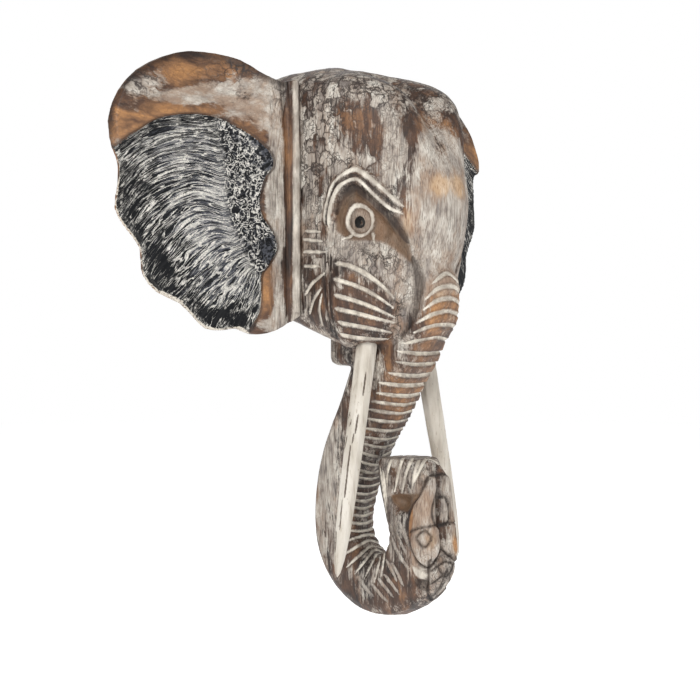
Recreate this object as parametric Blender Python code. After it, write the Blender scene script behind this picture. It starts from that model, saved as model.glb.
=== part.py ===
"""Carved wooden elephant mask that hangs flat on a wall.

The head, trunk and jaw are one carved block, hollowed from behind.  The two
ears are boards that butt against the sides of the head, and the two tusks are
pegs let into sockets under the cheeks.

Frame: metres, +Z up, the wall is the plane y = 0 and the face looks along -Y.
The origin is the hanging point on the flat back of the crown.  "Depth" below
is the distance in front of the wall, so a point's y is minus its depth.
"""

import math
from collections import namedtuple

import bmesh
import bpy
from mathutils import Matrix, Vector

# Head block
HEAD_HEIGHT = 0.259
HEAD_HALF_WIDTH = 0.074
HEAD_DEPTH = 0.190
HANGING_POINT_BELOW_CROWN = 0.051
UNDERSIDE_RISE = 0.040
UNDERSIDE_RISE_REACH = 0.110

# Hollow scooped out of the back
HOLLOW_HALF_WIDTH = 0.052
HOLLOW_HEIGHT = 0.117
HOLLOW_DEPTH = 0.140
HOLLOW_BELOW_HANGING_POINT = 0.018

# Trunk, from the first ring cut to the lowest point of the curl
TRUNK_ROOT_BELOW_CROWN = 0.178
TRUNK_DROP = 0.325
TRUNK_ROOT_HALF_WIDTH = 0.025
TRUNK_HALF_WIDTH = 0.0305
TRUNK_TIP_HALF_WIDTH = 0.0215
TRUNK_FULL_WIDTH_AT = 0.2
TRUNK_NARROW_AT = 0.6
RING_CUT_COUNT = 35
RING_CUT_WIDTH = 0.0042
RING_CUT_DEPTH = 0.0022
FIRST_RING_PITCH = 0.0126
LAST_RING_PITCH = 0.0078
CHEVRON_DROOP = 0.013

# Lobes at the trunk's tip
LOBE_LENGTH = 0.091
LOBE_RADIUS = 0.0142
LOBE_TOP_BELOW_CROWN = 0.358
LOBE_DEPTH = 0.1685
LOBE_SPREAD = 0.0118
CURL_EYE_RADIUS = 0.017
CURL_EYE_SINK = 0.0065
CURL_EYE_DEPTH = 0.148
CURL_EYE_BELOW_CROWN = 0.393
FOLD_STROKE_COUNT = 5

# Jaw
JAW_WIDTH = 0.056
JAW_LENGTH = 0.036
JAW_HEIGHT = 0.052
JAW_BOTTOM_BELOW_CROWN = 0.272
JAW_DEPTH = 0.079
JAW_ROUNDING = 0.007

# Brow, eye and cheek
BROW_RADIUS = 0.0026
EYE_DEPTH_IN_FACE = 0.134
EYE_BELOW_CROWN = 0.1425
EYE_RING_HEIGHT = 0.0235
EYE_RING_LENGTH = 0.0205
EYE_RING_THICKNESS = 0.0034
PUPIL_DIAMETER = 0.0045
PUPIL_DRILL_DEPTH = 0.007
SOCKET_LENGTH = 0.088
SOCKET_HEIGHT = 0.042
SOCKET_SINK = 0.0085
SOCKET_AHEAD_OF_EYE = 0.007
STROKE_WIDTH = 0.0044
STROKE_DEPTH = 0.0022

# Ears
EAR_WIDTH = 0.1645
EAR_HEIGHT = 0.2465
EAR_THICKNESS = 0.0135
EAR_RIM_THICKNESS = 0.007
EAR_TOP_ABOVE_CROWN = 0.005
EAR_SEAT_DEPTH = 0.075
EAR_SWEEP = math.radians(17.6)
EAR_CURL = 0.037
EAR_CURL_HEIGHT = 0.096
CURL_PEAK = 43.0
FIELD_RECESS = 0.0035
FLUTE_COUNT = 13
FLUTE_WIDTH = 0.0042
FLUTE_DEPTH = 0.0018
BEAD_RADIUS = 0.0042
GROOVE_RADIUS = 0.0042
GROOVE_FROM_JOINT = 0.0125

# Tusks
TUSK_LENGTH = 0.2115
TUSK_THICKNESS = 0.020
TUSK_TENON = 0.014
TUSK_SPREAD = 0.0365
TUSK_DEPTH = 0.1215
TUSK_BASE_BELOW_CROWN = 0.250
TUSK_SPLAY = math.radians(12.0)
TUSK_LEAN = math.radians(1.6)
TUSK_SIDES = 8

# Fit between separate pieces, and the thickness left over a cutter
JOINT_GAP = 0.0003
OVERSHOOT = 0.0015

CROWN_Z = HANGING_POINT_BELOW_CROWN

Section = namedtuple("Section", "drop back side seat temple cheek corner front")

# Plan sections of the head from the crown down.  The drop is in percent of the
# head's height, each x in percent of its half width and each depth in percent
# of its depth: the back face, the flat side with the depth where it ends, then
# the temple, cheek and front corner points, and the depth on the midline.
HEAD_SECTIONS = (
    Section(-2.8, 21, 18, 26, (17, 31), (14, 35), (8, 37), 37),
    Section(0.0, 12.6, 60, 27, (58, 34), (48, 41), (27, 46), 45),
    Section(3.9, 4, 86, 31.5, (83, 43), (62, 53), (30, 60.5), 58),
    Section(8.1, 0, 99, 37, (93, 50), (66, 65), (32, 76), 70),
    Section(13.9, 0, 100, 39.5, (95, 53), (71.5, 73), (38, 85.5), 81),
    Section(23.9, 0, 100, 39.5, (95, 56.5), (74, 77), (44, 91.2), 90.5),
    Section(34.4, 0, 100, 39.5, (95, 57), (73, 77), (44.5, 93), 97),
    Section(47.5, 0, 100, 39.5, (96, 57), (75, 78), (44.5, 96), 100),
    Section(58.3, 0, 100, 39.5, (97, 58), (78, 76), (46, 93.5), 99.5),
    Section(68.7, 0, 100, 39.5, (98.5, 59), (81, 75), (48.5, 89.5), 97),
    Section(75.7, 0, 100, 39.5, (98.5, 60), (81, 74), (50, 86), 90),
    Section(81.5, 0, 100, 39.5, (98.5, 60), (80, 73), (50, 84), 88),
    Section(89.2, 0, 98.5, 39.5, (96, 59), (77, 70.5), (49, 80), 83),
    Section(95.0, 1, 89, 38, (86.5, 56), (69, 65), (46, 73.5), 77),
    Section(98.5, 4, 67, 36, (66, 50.5), (54, 58), (35, 63), 65),
    Section(100.0, 13, 34, 33, (33, 42), (27, 47), (16, 50.5), 51.5),
)

# Side view of the trunk: its front (later inner) and back (later outer) edge,
# as depth in percent of the head's depth and drop in percent of the trunk's.
TRUNK_PROFILE = (
    ((93.0, -2.0), (58.0, -10.0)),
    ((99.0, 4.0), (55.0, -5.0)),
    ((98.9, 10.2), (54.0, 1.0)),
    ((97.0, 16.4), (53.7, 7.7)),
    ((90.0, 21.5), (51.6, 15.7)),
    ((84.0, 27.4), (46.3, 24.0)),
    ((77.0, 33.5), (41.6, 31.0)),
    ((71.8, 38.8), (36.8, 36.9)),
    ((66.6, 43.7), (32.6, 41.8)),
    ((60.2, 48.9), (27.4, 47.4)),
    ((54.6, 54.2), (22.9, 52.6)),
    ((50.2, 59.7), (19.2, 58.8)),
    ((46.6, 64.9), (16.8, 64.6)),
    ((44.3, 69.2), (15.5, 69.9)),
    ((43.4, 73.2), (15.0, 75.4)),
    ((44.3, 77.0), (16.5, 82.2)),
    ((47.8, 80.2), (22.6, 89.2)),
    ((53.2, 82.2), (33.7, 95.4)),
    ((58.4, 82.4), (50.0, 99.4)),
    ((63.2, 80.8), (69.5, 99.1)),
    ((65.4, 78.0), (88.0, 93.6)),
    ((65.6, 75.0), (98.2, 84.6)),
    ((63.2, 69.2), (91.0, 77.0)),
    ((60.4, 63.4), (88.6, 66.0)),
    ((58.2, 56.9), (88.6, 56.4)),
    ((61.5, 54.4), (85.0, 54.2)),
)
TRUNK_RING_POINTS = 12
TRUNK_SQUARENESS = 3.3

# Ear outline from the top of the joint, over the rim and back along the wavy
# lower edge, in percent of the ear's width and height.
EAR_OUTLINE = (
    (-8, 6.4), (0, 6.5), (6.4, 7.9), (14.4, 5), (23.1, -0.4), (34.1, -2.4), (47.7, -2.7),
    (62.5, 0), (80.6, 5.9), (92.8, 14.1), (98.6, 22.1), (100, 28.1), (98.8, 34.1), (96.2, 39.2),
    (96.1, 46.5), (97.8, 55.5), (92.6, 62.1), (84.8, 69.3), (83.6, 78.3), (75.4, 85.1), (63.4, 88.9),
    (55.7, 94.1), (49.2, 98.1), (41.6, 98.5), (33.2, 97.9), (24.9, 100.2), (14.6, 98.9), (5.8, 95.9),
    (0, 93.4), (-8, 93),
)
# Upper and inner edge of the sunk field, in the same percentages.
FIELD_EDGE = (
    (106, 37), (98.5, 34.1), (93, 31), (82.3, 26.0), (70.6, 23.0), (56.0, 21.3),
    (45.0, 22.4), (32.5, 26.4), (24.0, 31.6), (17.9, 38.5), (18.3, 44.8), (23.9, 51.5),
    (22.8, 56.9), (17.1, 61.5), (14.2, 67.6), (15.3, 72.4), (21.1, 77.5), (22.9, 84.5),
    (25, 95), (28.5, 105),
)
# Where the flutes start beside the rough patch, and where they run out.
FLUTE_STARTS = ((46, 25), (46.7, 40), (44.7, 55.4), (39.2, 64.3), (33.2, 75), (29.3, 88))
FLUTE_ENDS = ((98, 36), (101, 49), (93, 61), (87, 74), (75, 87), (58, 98), (42, 103))
FLUTE_RISE = 5.5

# Brow ridges on the side of the face, as depth and drop in percent of the
# head's depth and height.
BROW_RIDGES = (
    ((56, 59.5), (58, 50.0), (62.5, 42.0), (69, 37.0), (73, 38.5), (81, 45.5), (91, 54.5)),
    ((57.5, 59.5), (59.7, 52.0), (64.5, 44.5), (69.3, 41.5), (74.5, 44.5), (83, 51.5), (90.5, 57.7)),
)
# Long cuts across the cheek and short ones behind it, in the same percentages.
CHEEK_CUTS = (
    ((61, 69.5), (71, 71.2), (79, 75.0), (85, 81.0)),
    ((60, 74.5), (71, 77.0), (79, 80.5), (85, 85.0)),
    ((60, 79.6), (71, 82.0), (78, 84.5), (84, 87.5)),
    ((60, 84.2), (70, 86.0), (76, 87.5), (82, 89.5)),
    ((60, 88.2), (68, 89.6), (74, 90.5), (80, 91.5)),
    ((61, 91.6), (67, 92.4), (72, 92.8), (78, 93.3)),
)
BACK_STROKES = (
    ((43, 69.5), (52, 69.5)),
    ((43, 78.5), (50, 71.5)),
    ((46, 86.0), (53, 75.5)),
    ((54, 89.5), (56, 76.0)),
)

FINISHES = {
    "head": ((0.33, 0.24, 0.18, 1.0), 0.62, 0.0),
    "ear": ((0.36, 0.22, 0.13, 1.0), 0.58, 0.0),
    "tusk": ((0.80, 0.74, 0.64, 1.0), 0.60, 0.0),
}


def clear_scene():
    """Remove every object so that the model starts from an empty scene."""
    for item in list(bpy.data.objects):
        bpy.data.objects.remove(item, do_unlink=True)


def finish(name):
    """Return the material of one kind of piece, made on first use."""
    if name in bpy.data.materials:
        return bpy.data.materials[name]
    colour, roughness, metallic = FINISHES[name]
    material = bpy.data.materials.new(name)
    material.use_nodes = True
    shader = material.node_tree.nodes["Principled BSDF"]
    shader.inputs["Base Color"].default_value = colour
    shader.inputs["Roughness"].default_value = roughness
    shader.inputs["Metallic"].default_value = metallic
    return material


def to_object(name, mesh_data, material=None):
    """Turn a bmesh into an object whose faces point outwards."""
    bmesh.ops.recalc_face_normals(mesh_data, faces=mesh_data.faces)
    mesh = bpy.data.meshes.new(name)
    mesh_data.to_mesh(mesh)
    mesh_data.free()
    item = bpy.data.objects.new(name, mesh)
    bpy.context.scene.collection.objects.link(item)
    if material:
        mesh.materials.append(finish(material))
    return item


def as_tool(item):
    """Mark an object as a shape that only cuts or joins another."""
    item.hide_render = True
    item.display_type = "WIRE"
    return item


def combine(target, operation, tool):
    """Add a live Boolean to the target."""
    modifier = target.modifiers.new(f"{operation.lower()} {tool.name}", "BOOLEAN")
    modifier.operation = operation
    modifier.solver = "EXACT"
    modifier.object = as_tool(tool)


def spline_point(points, place):
    """Point on a smooth curve through the points; place counts in points."""
    last = len(points) - 1
    index = min(max(int(place), 0), last - 1)
    share = place - index
    before = points[max(index - 1, 0)]
    start = points[index]
    end = points[index + 1]
    after = points[min(index + 2, last)]
    result = []
    for a, b, c, d in zip(before, start, end, after):
        slope_in = (c - a) / 2
        slope_out = (d - b) / 2
        cubic = 2 * b - 2 * c + slope_in + slope_out
        square = -3 * b + 3 * c - 2 * slope_in - slope_out
        result.append(((cubic * share + square) * share + slope_in) * share + b)
    return tuple(result)


def smooth_line(points, steps):
    """Sample a smooth curve through the points, with steps per span."""
    count = (len(points) - 1) * steps
    return [spline_point(points, i / steps) for i in range(count + 1)]


def loft(rings):
    """Join closed rings of equal length, with a fan over each end."""
    mesh_data = bmesh.new()
    rows = [[mesh_data.verts.new(point) for point in ring] for ring in rings]
    count = len(rows[0])
    for lower, upper in zip(rows, rows[1:]):
        for i in range(count):
            j = (i + 1) % count
            mesh_data.faces.new((lower[i], lower[j], upper[j], upper[i]))
    for row in (rows[0], rows[-1]):
        middle = sum((vert.co for vert in row), Vector()) / count
        centre = mesh_data.verts.new(middle)
        for i in range(count):
            mesh_data.faces.new((row[i], row[(i + 1) % count], centre))
    return mesh_data


def add_spindle(mesh_data, centres, sections):
    """Add a closed tube through open rings, pointed at both ends."""
    rows = [[mesh_data.verts.new(point) for point in section] for section in sections]
    count = len(rows[0])
    for lower, upper in zip(rows, rows[1:]):
        for i in range(count):
            j = (i + 1) % count
            mesh_data.faces.new((lower[i], lower[j], upper[j], upper[i]))
    for row, point in ((rows[0], centres[0]), (rows[-1], centres[-1])):
        tip = mesh_data.verts.new(point)
        for i in range(count):
            mesh_data.faces.new((row[i], row[(i + 1) % count], tip))


def add_stroke(mesh_data, points, normals, width, depth):
    """Add a V-shaped blade that cuts a stroke pointed at both ends."""
    top_half = width / 2 * (depth + OVERSHOOT) / depth
    last = len(points) - 1
    sections = []
    for i in range(1, last):
        along = (points[i + 1] - points[i - 1]).normalized()
        across = along.cross(normals[i]).normalized()
        fullness = min(1.0, 1.6 * math.sin(math.pi * i / last))
        top = points[i] + normals[i] * OVERSHOOT
        sections.append((
            top + across * top_half * fullness,
            points[i] - normals[i] * depth * fullness,
            top - across * top_half * fullness,
        ))
    ends = (points[0] + normals[0] * OVERSHOOT, points[last] + normals[last] * OVERSHOOT)
    add_spindle(mesh_data, ends, sections)


def mirrored(mesh_data):
    """Add the mirror image of everything across the midline."""
    copy = bmesh.ops.duplicate(mesh_data, geom=mesh_data.verts[:] + mesh_data.edges[:] + mesh_data.faces[:])
    verts = [item for item in copy["geom"] if isinstance(item, bmesh.types.BMVert)]
    faces = [item for item in copy["geom"] if isinstance(item, bmesh.types.BMFace)]
    bmesh.ops.scale(mesh_data, vec=(-1, 1, 1), verts=verts)
    bmesh.ops.reverse_faces(mesh_data, faces=faces)
    return mesh_data


def height_at(drop_share):
    """Height of a place on the head given its drop in percent."""
    return CROWN_Z - HEAD_HEIGHT * drop_share / 100


def section_at(drop_share):
    """Interpolate the head's plan section at a drop in percent."""
    drops = [section.drop for section in HEAD_SECTIONS]
    drop_share = min(max(drop_share, drops[0]), drops[-1])
    index = 0
    while index < len(drops) - 2 and drop_share > drops[index + 1]:
        index += 1
    place = index + (drop_share - drops[index]) / (drops[index + 1] - drops[index])
    rows = [
        (s.back, s.side, s.seat, *s.temple, *s.cheek, *s.corner, s.front)
        for s in HEAD_SECTIONS
    ]
    return spline_point(rows, place)


def half_section(drop_share, steps):
    """Half plan section in metres, from the back midline to the front one."""
    back, side, seat, tx, tp, bx, bp, cx, cp, front = section_at(drop_share)
    back = max(back, 0.0)
    side = min(side, 100.0)
    wide = HEAD_HALF_WIDTH / 100
    deep = HEAD_DEPTH / 100
    corner = back + 3
    flat = [(0, back), (side * 0.55, back), (side * 0.94, back), (side, corner)]
    flat.append((side, (corner + seat) / 2))
    curve = [(side, seat), (tx, tp), (bx, bp), (cx, cp), (0, front)]
    arc = smooth_line([(side, seat - 12)] + curve + [(-cx, cp)], steps)[steps:-steps]
    return [(x * wide, p * deep) for x, p in flat + arc]


def head_point(x, depth, drop_share):
    """Place a section point in space, the underside rising to the wall."""
    lowering = max(0.0, (drop_share - 70) / 30)
    rise = UNDERSIDE_RISE * lowering * max(0.0, 1 - depth / UNDERSIDE_RISE_REACH)
    return Vector((x, -depth, height_at(drop_share) + rise))


def head_ring(drop_share):
    """Closed plan ring of the head."""
    half = half_section(drop_share, 2)
    left = [head_point(x, p, drop_share) for x, p in half]
    right = [head_point(-x, p, drop_share) for x, p in half[-2:0:-1]]
    return left + right


def face_point(depth, drop_share):
    """Point on the side of the face at a depth and drop."""
    half = half_section(drop_share, 12)[5:]
    for (x0, p0), (x1, p1) in zip(half, half[1:]):
        if p0 <= depth <= p1 and p1 > p0:
            x = x0 + (x1 - x0) * (depth - p0) / (p1 - p0)
            return Vector((x, -depth, height_at(drop_share)))
    x, p = half[-1]
    return Vector((x, -p, height_at(drop_share)))


def face_normal(depth, drop_share):
    """Outward normal of the side of the face."""
    step = 0.002
    drop_step = 100 * step / HEAD_HEIGHT
    along = face_point(depth + step, drop_share) - face_point(depth - step, drop_share)
    down = face_point(depth, drop_share + drop_step) - face_point(depth, drop_share - drop_step)
    normal = along.cross(down).normalized()
    return normal if normal.x > 0 else -normal


def face_line(shares, steps):
    """Points and normals of a line drawn on the side of the face."""
    line = smooth_line(shares, steps)
    places = [(p / 100 * HEAD_DEPTH, drop) for p, drop in line]
    points = [face_point(depth, drop) for depth, drop in places]
    normals = [face_normal(depth, drop) for depth, drop in places]
    return points, normals


def make_head_block():
    """Loft the head from the crown to the chin."""
    drops = [-2.8, -1.6, 0.4, 3.0, 6.0]
    drops += [9.5 + 4.36 * i for i in range(20)]
    drops += [95.2, 97.6, 99.2, 100.0]
    return to_object("head", loft([head_ring(drop) for drop in drops]), "head")


def trunk_edges(place):
    """Front and back edge points of the trunk, as (depth, height) pairs."""
    flat = [(*front, *back) for front, back in TRUNK_PROFILE]
    front_p, front_d, back_p, back_d = spline_point(flat, place)
    deep = HEAD_DEPTH / 100
    root = CROWN_Z - TRUNK_ROOT_BELOW_CROWN
    drop = TRUNK_DROP / 100
    front = Vector((0, -front_p * deep, root - front_d * drop))
    back = Vector((0, -back_p * deep, root - back_d * drop))
    return front, back


def trunk_half_width(share):
    """Half width of the trunk at a share of its run."""
    if share < TRUNK_FULL_WIDTH_AT:
        growth = share / TRUNK_FULL_WIDTH_AT
        return TRUNK_ROOT_HALF_WIDTH + (TRUNK_HALF_WIDTH - TRUNK_ROOT_HALF_WIDTH) * growth
    narrowing = min(1.0, (share - TRUNK_FULL_WIDTH_AT) / (TRUNK_NARROW_AT - TRUNK_FULL_WIDTH_AT))
    return TRUNK_HALF_WIDTH + (TRUNK_TIP_HALF_WIDTH - TRUNK_HALF_WIDTH) * narrowing


def trunk_ring(place, cut):
    """One ring of the trunk; cut is how deep a ring cut is here, from 0 to 1."""
    front, back = trunk_edges(place)
    last = len(TRUNK_PROFILE) - 1
    centre = (front + back) / 2
    reach = (front - back).length / 2
    forward = (front - back).normalized()
    along = Vector((1, 0, 0)).cross(forward)
    if along.z > 0:
        along = -along
    half_width = trunk_half_width(place / last)
    droop = CHEVRON_DROOP * max(0.0, 1 - place / 5.5)
    power = 2 / TRUNK_SQUARENESS
    ring = []
    for i in range(TRUNK_RING_POINTS):
        angle = 2 * math.pi * i / TRUNK_RING_POINTS
        across = math.copysign(abs(math.cos(angle)) ** power, math.cos(angle))
        ahead = math.copysign(abs(math.sin(angle)) ** power, math.sin(angle))
        sink = cut * RING_CUT_DEPTH * min(1.0, max(0.0, 2.2 * math.sin(angle) - 0.1))
        point = centre + forward * (ahead * reach - sink) + Vector((across * half_width, 0, 0))
        if ahead > 0:
            point = point + Vector((0, 0, -droop * across * across))
        ring.append(point)
    return ring


def trunk_stations():
    """Places along the trunk with how deep each ring is cut."""
    last = len(TRUNK_PROFILE) - 1
    fine = 40
    places = [i / fine for i in range(last * fine + 1)]
    lengths = [0.0]
    for a, b in zip(places, places[1:]):
        lengths.append(lengths[-1] + (trunk_edges(b)[0] - trunk_edges(a)[0]).length)

    def place_of(length):
        for i in range(len(lengths) - 1):
            if lengths[i + 1] >= length:
                span = max(lengths[i + 1] - lengths[i], 1e-9)
                return places[i] + (length - lengths[i]) / span / fine
        return float(last)

    stations = [(0.0, 0.0)]
    length = FIRST_RING_PITCH
    for i in range(RING_CUT_COUNT):
        for shift, cut in ((-RING_CUT_WIDTH / 2, 0.0), (0.0, 1.0), (RING_CUT_WIDTH / 2, 0.0)):
            stations.append((place_of(length + shift), cut))
        share = i / (RING_CUT_COUNT - 1)
        length += FIRST_RING_PITCH + (LAST_RING_PITCH - FIRST_RING_PITCH) * share
    final = stations[-1][0]
    steps = max(2, round((last - final) * 1.5))
    stations += [(final + (last - final) * (i + 1) / steps, 0.0) for i in range(steps)]
    return stations


def make_trunk():
    """Sweep the trunk with its ring cuts from the face to the folded tip."""
    rings = [trunk_ring(place, cut) for place, cut in trunk_stations()]
    return to_object("trunk", loft(rings))


def make_lobes():
    """Two drops that hang side by side in front of the folded tip."""
    mesh_data = bmesh.new()
    top = CROWN_Z - LOBE_TOP_BELOW_CROWN
    steps = 8
    sides = 10
    sections = []
    for i in range(1, steps):
        share = i / steps
        radius = LOBE_RADIUS * (0.42 + 0.58 * share) * min(1.0, 2.6 * math.sin(math.pi * share))
        centre = Vector((LOBE_SPREAD * (0.75 + 0.25 * share), -LOBE_DEPTH, top - LOBE_LENGTH * share))
        sections.append([
            centre + Vector((math.cos(a) * radius * 0.95, math.sin(a) * radius, 0))
            for a in (2 * math.pi * k / sides for k in range(sides))
        ])
    start = Vector((LOBE_SPREAD * 0.75, -LOBE_DEPTH, top))
    end = Vector((LOBE_SPREAD, -LOBE_DEPTH - LOBE_RADIUS * 0.6, top - LOBE_LENGTH))
    add_spindle(mesh_data, (start, end), sections)
    return mesh_data


def make_jaw():
    """Small rounded block of the lower lip behind the trunk."""
    mesh_data = bmesh.new()
    middle = CROWN_Z - JAW_BOTTOM_BELOW_CROWN + JAW_HEIGHT / 2
    place = Matrix.Translation((0, -JAW_DEPTH, middle)) @ Matrix.Diagonal(
        (JAW_WIDTH, JAW_LENGTH, JAW_HEIGHT, 1)
    )
    bmesh.ops.create_cube(mesh_data, size=1, matrix=place)
    bmesh.ops.bevel(
        mesh_data, geom=mesh_data.edges[:], offset=JAW_ROUNDING, segments=2,
        profile=0.5, affect="EDGES", clamp_overlap=True,
    )
    return to_object("jaw", mesh_data)


def add_ridge(mesh_data, shares, radius):
    """Raised round ridge along a line on the side of the face."""
    points, normals = face_line(shares, 2)
    last = len(points) - 1
    sides = 5
    sections = []
    for i in range(1, last):
        along = (points[i + 1] - points[i - 1]).normalized()
        across = along.cross(normals[i]).normalized()
        fullness = min(1.0, 2.2 * math.sin(math.pi * i / last))
        sections.append([
            points[i] + (normals[i] * math.sin(a) + across * math.cos(a)) * radius * fullness
            for a in (2 * math.pi * (k + 0.5) / sides for k in range(sides))
        ])
    add_spindle(mesh_data, (points[0], points[last]), sections)


def make_eye_ring():
    """Raised oval rim round the eye, bedded in the socket's floor."""
    mesh_data = bmesh.new()
    drop = 100 * EYE_BELOW_CROWN / HEAD_HEIGHT
    normal = face_normal(EYE_DEPTH_IN_FACE, drop)
    centre = face_point(EYE_DEPTH_IN_FACE, drop) - normal * SOCKET_SINK * 0.8
    up = (Vector((0, 0, 1)) - normal * normal.z).normalized()
    side = up.cross(normal).normalized()
    around = 14
    sides = 5
    rows = []
    for i in range(around):
        turn = 2 * math.pi * i / around
        outward = side * math.cos(turn) * EYE_RING_LENGTH / 2 + up * math.sin(turn) * EYE_RING_HEIGHT / 2
        direction = outward.normalized()
        rows.append([
            mesh_data.verts.new(
                centre + outward + (direction * math.cos(a) + normal * math.sin(a)) * EYE_RING_THICKNESS / 2
            )
            for a in (2 * math.pi * k / sides for k in range(sides))
        ])
    for i in range(around):
        row = rows[i]
        following = rows[(i + 1) % around]
        for k in range(sides):
            mesh_data.faces.new((row[k], row[(k + 1) % sides], following[(k + 1) % sides], following[k]))
    return to_object("eye rings", mirrored(mesh_data))


def make_sockets():
    """Scooped hollows under the brows."""
    mesh_data = bmesh.new()
    drop = 100 * (EYE_BELOW_CROWN + SOCKET_AHEAD_OF_EYE) / HEAD_HEIGHT
    depth = EYE_DEPTH_IN_FACE + SOCKET_AHEAD_OF_EYE
    normal = face_normal(depth, drop)
    down_forward = face_point(depth + 0.02, drop + 8) - face_point(depth - 0.02, drop - 8)
    along = (down_forward - normal * normal.dot(down_forward)).normalized()
    across = normal.cross(along)
    turn = Matrix((along, across, normal)).transposed().to_4x4()
    bulge = SOCKET_SINK * 2
    centre = face_point(depth, drop) + normal * (bulge - SOCKET_SINK)
    place = Matrix.Translation(centre) @ turn @ Matrix.Diagonal(
        (SOCKET_LENGTH / 2, SOCKET_HEIGHT / 2, bulge, 1)
    )
    bmesh.ops.create_uvsphere(mesh_data, u_segments=16, v_segments=8, radius=1, matrix=place)
    return to_object("sockets", mirrored(mesh_data))


def make_pupils():
    """Blind holes drilled in the eyes."""
    mesh_data = bmesh.new()
    drop = 100 * EYE_BELOW_CROWN / HEAD_HEIGHT
    normal = face_normal(EYE_DEPTH_IN_FACE, drop)
    reach = PUPIL_DRILL_DEPTH + SOCKET_SINK + OVERSHOOT * 4
    middle = face_point(EYE_DEPTH_IN_FACE, drop) - normal * (PUPIL_DRILL_DEPTH + SOCKET_SINK - reach / 2)
    turn = normal.to_track_quat("Z", "Y").to_matrix().to_4x4()
    bmesh.ops.create_cone(
        mesh_data, cap_ends=True, segments=10, radius1=PUPIL_DIAMETER / 2,
        radius2=PUPIL_DIAMETER / 2, depth=reach, matrix=Matrix.Translation(middle) @ turn,
    )
    return to_object("pupils", mirrored(mesh_data))


def make_face_strokes():
    """Knife cuts across the cheeks and beside the ear joints."""
    mesh_data = bmesh.new()
    for shares in CHEEK_CUTS:
        points, normals = face_line(shares, 2)
        add_stroke(mesh_data, points, normals, STROKE_WIDTH, STROKE_DEPTH)
    for shares in BACK_STROKES:
        points, normals = face_line(shares, 5)
        add_stroke(mesh_data, points, normals, STROKE_WIDTH, STROKE_DEPTH)
    return to_object("face strokes", mirrored(mesh_data))


def make_curl_eyes():
    """Round hollows in the sides of the folded tip."""
    mesh_data = bmesh.new()
    out = TRUNK_TIP_HALF_WIDTH + CURL_EYE_RADIUS - CURL_EYE_SINK
    middle = Vector((out, -CURL_EYE_DEPTH, CROWN_Z - CURL_EYE_BELOW_CROWN))
    place = Matrix.Translation(middle) @ Matrix.Diagonal((1, 1, 0.9, 1))
    bmesh.ops.create_uvsphere(
        mesh_data, u_segments=12, v_segments=8, radius=CURL_EYE_RADIUS, matrix=place
    )
    return to_object("curl eyes", mirrored(mesh_data))


def make_fold_strokes():
    """Short cuts that fan over the sides of the fold."""
    mesh_data = bmesh.new()
    last = len(TRUNK_PROFILE) - 1
    top_front, top_back = trunk_edges(last - 0.9)
    low_front, low_back = trunk_edges(last - 2.0)
    for i in range(FOLD_STROKE_COUNT):
        share = (i + 0.6) / FOLD_STROKE_COUNT
        upper = top_front.lerp(top_back, share)
        lower = low_front.lerp(low_back, 0.12 + 0.62 * share)
        line = [upper.lerp(lower, k / 4) for k in range(5)]
        for point in line:
            point.x = TRUNK_TIP_HALF_WIDTH - 0.0004
        normals = [Vector((1, 0, 0))] * len(line)
        add_stroke(mesh_data, line, normals, STROKE_WIDTH * 0.8, STROKE_DEPTH)
    return to_object("fold strokes", mirrored(mesh_data))


def make_hollow():
    """Half egg scooped out of the back."""
    mesh_data = bmesh.new()
    middle = -HOLLOW_BELOW_HANGING_POINT - HOLLOW_HEIGHT / 2
    place = Matrix.Translation((0, 0, middle)) @ Matrix.Diagonal(
        (HOLLOW_HALF_WIDTH, HOLLOW_DEPTH, HOLLOW_HEIGHT / 2, 1)
    )
    bmesh.ops.create_uvsphere(mesh_data, u_segments=16, v_segments=8, radius=1, matrix=place)
    return to_object("hollow", mesh_data)


def tusk_axis():
    """Start of the tusk under the cheek and its direction, on the left side."""
    base = Vector((TUSK_SPREAD, -TUSK_DEPTH, CROWN_Z - TUSK_BASE_BELOW_CROWN))
    return base, Vector((math.tan(TUSK_SPLAY), -math.tan(TUSK_LEAN), -1)).normalized()


def tusk_mesh(side, allowance):
    """Faceted tusk with its tenon; the allowance makes the socket's shape."""
    base, direction = tusk_axis()
    frame_x = Vector((0, 1, 0)).cross(direction).normalized()
    frame_y = direction.cross(frame_x)
    fullness = ((-TUSK_TENON - allowance, 0.96), (0.0, 1.0), (0.3, 0.95), (0.6, 0.86), (0.8, 0.74),
                (0.92, 0.52), (0.975, 0.3))
    rings = []
    for place, width in fullness:
        distance = place if place < 0 else place * TUSK_LENGTH
        radius = TUSK_THICKNESS / 2 * width + allowance
        ring = []
        for i in range(TUSK_SIDES):
            angle = 2 * math.pi * (i + 0.5) / TUSK_SIDES
            point = base + direction * distance
            point = point + (frame_x * math.cos(angle) + frame_y * math.sin(angle)) * radius
            ring.append(Vector((point.x * side, point.y, point.z)))
        rings.append(ring)
    mesh_data = loft(rings)
    tip = base + direction * (TUSK_LENGTH + allowance)
    tip.x *= side
    mesh_data.verts.ensure_lookup_table()
    mesh_data.verts[-1].co = tip
    return mesh_data


def ear_point(share_out, share_down, lift):
    """Point of the left ear; lift is how far it stands before the front face."""
    out = share_out / 100 * EAR_WIDTH
    height = CROWN_Z + EAR_TOP_ABOVE_CROWN - share_down / 100 * EAR_HEIGHT
    depth = EAR_SEAT_DEPTH - out * math.tan(EAR_SWEEP) - EAR_CURL * ear_curl(share_out, share_down)
    return Vector((HEAD_HALF_WIDTH + out, lift_to_y(lift) - depth, height))


def lift_to_y(lift):
    """Step along Y that lifts a point off the slanted front face."""
    return -lift / math.cos(EAR_SWEEP)


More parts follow.
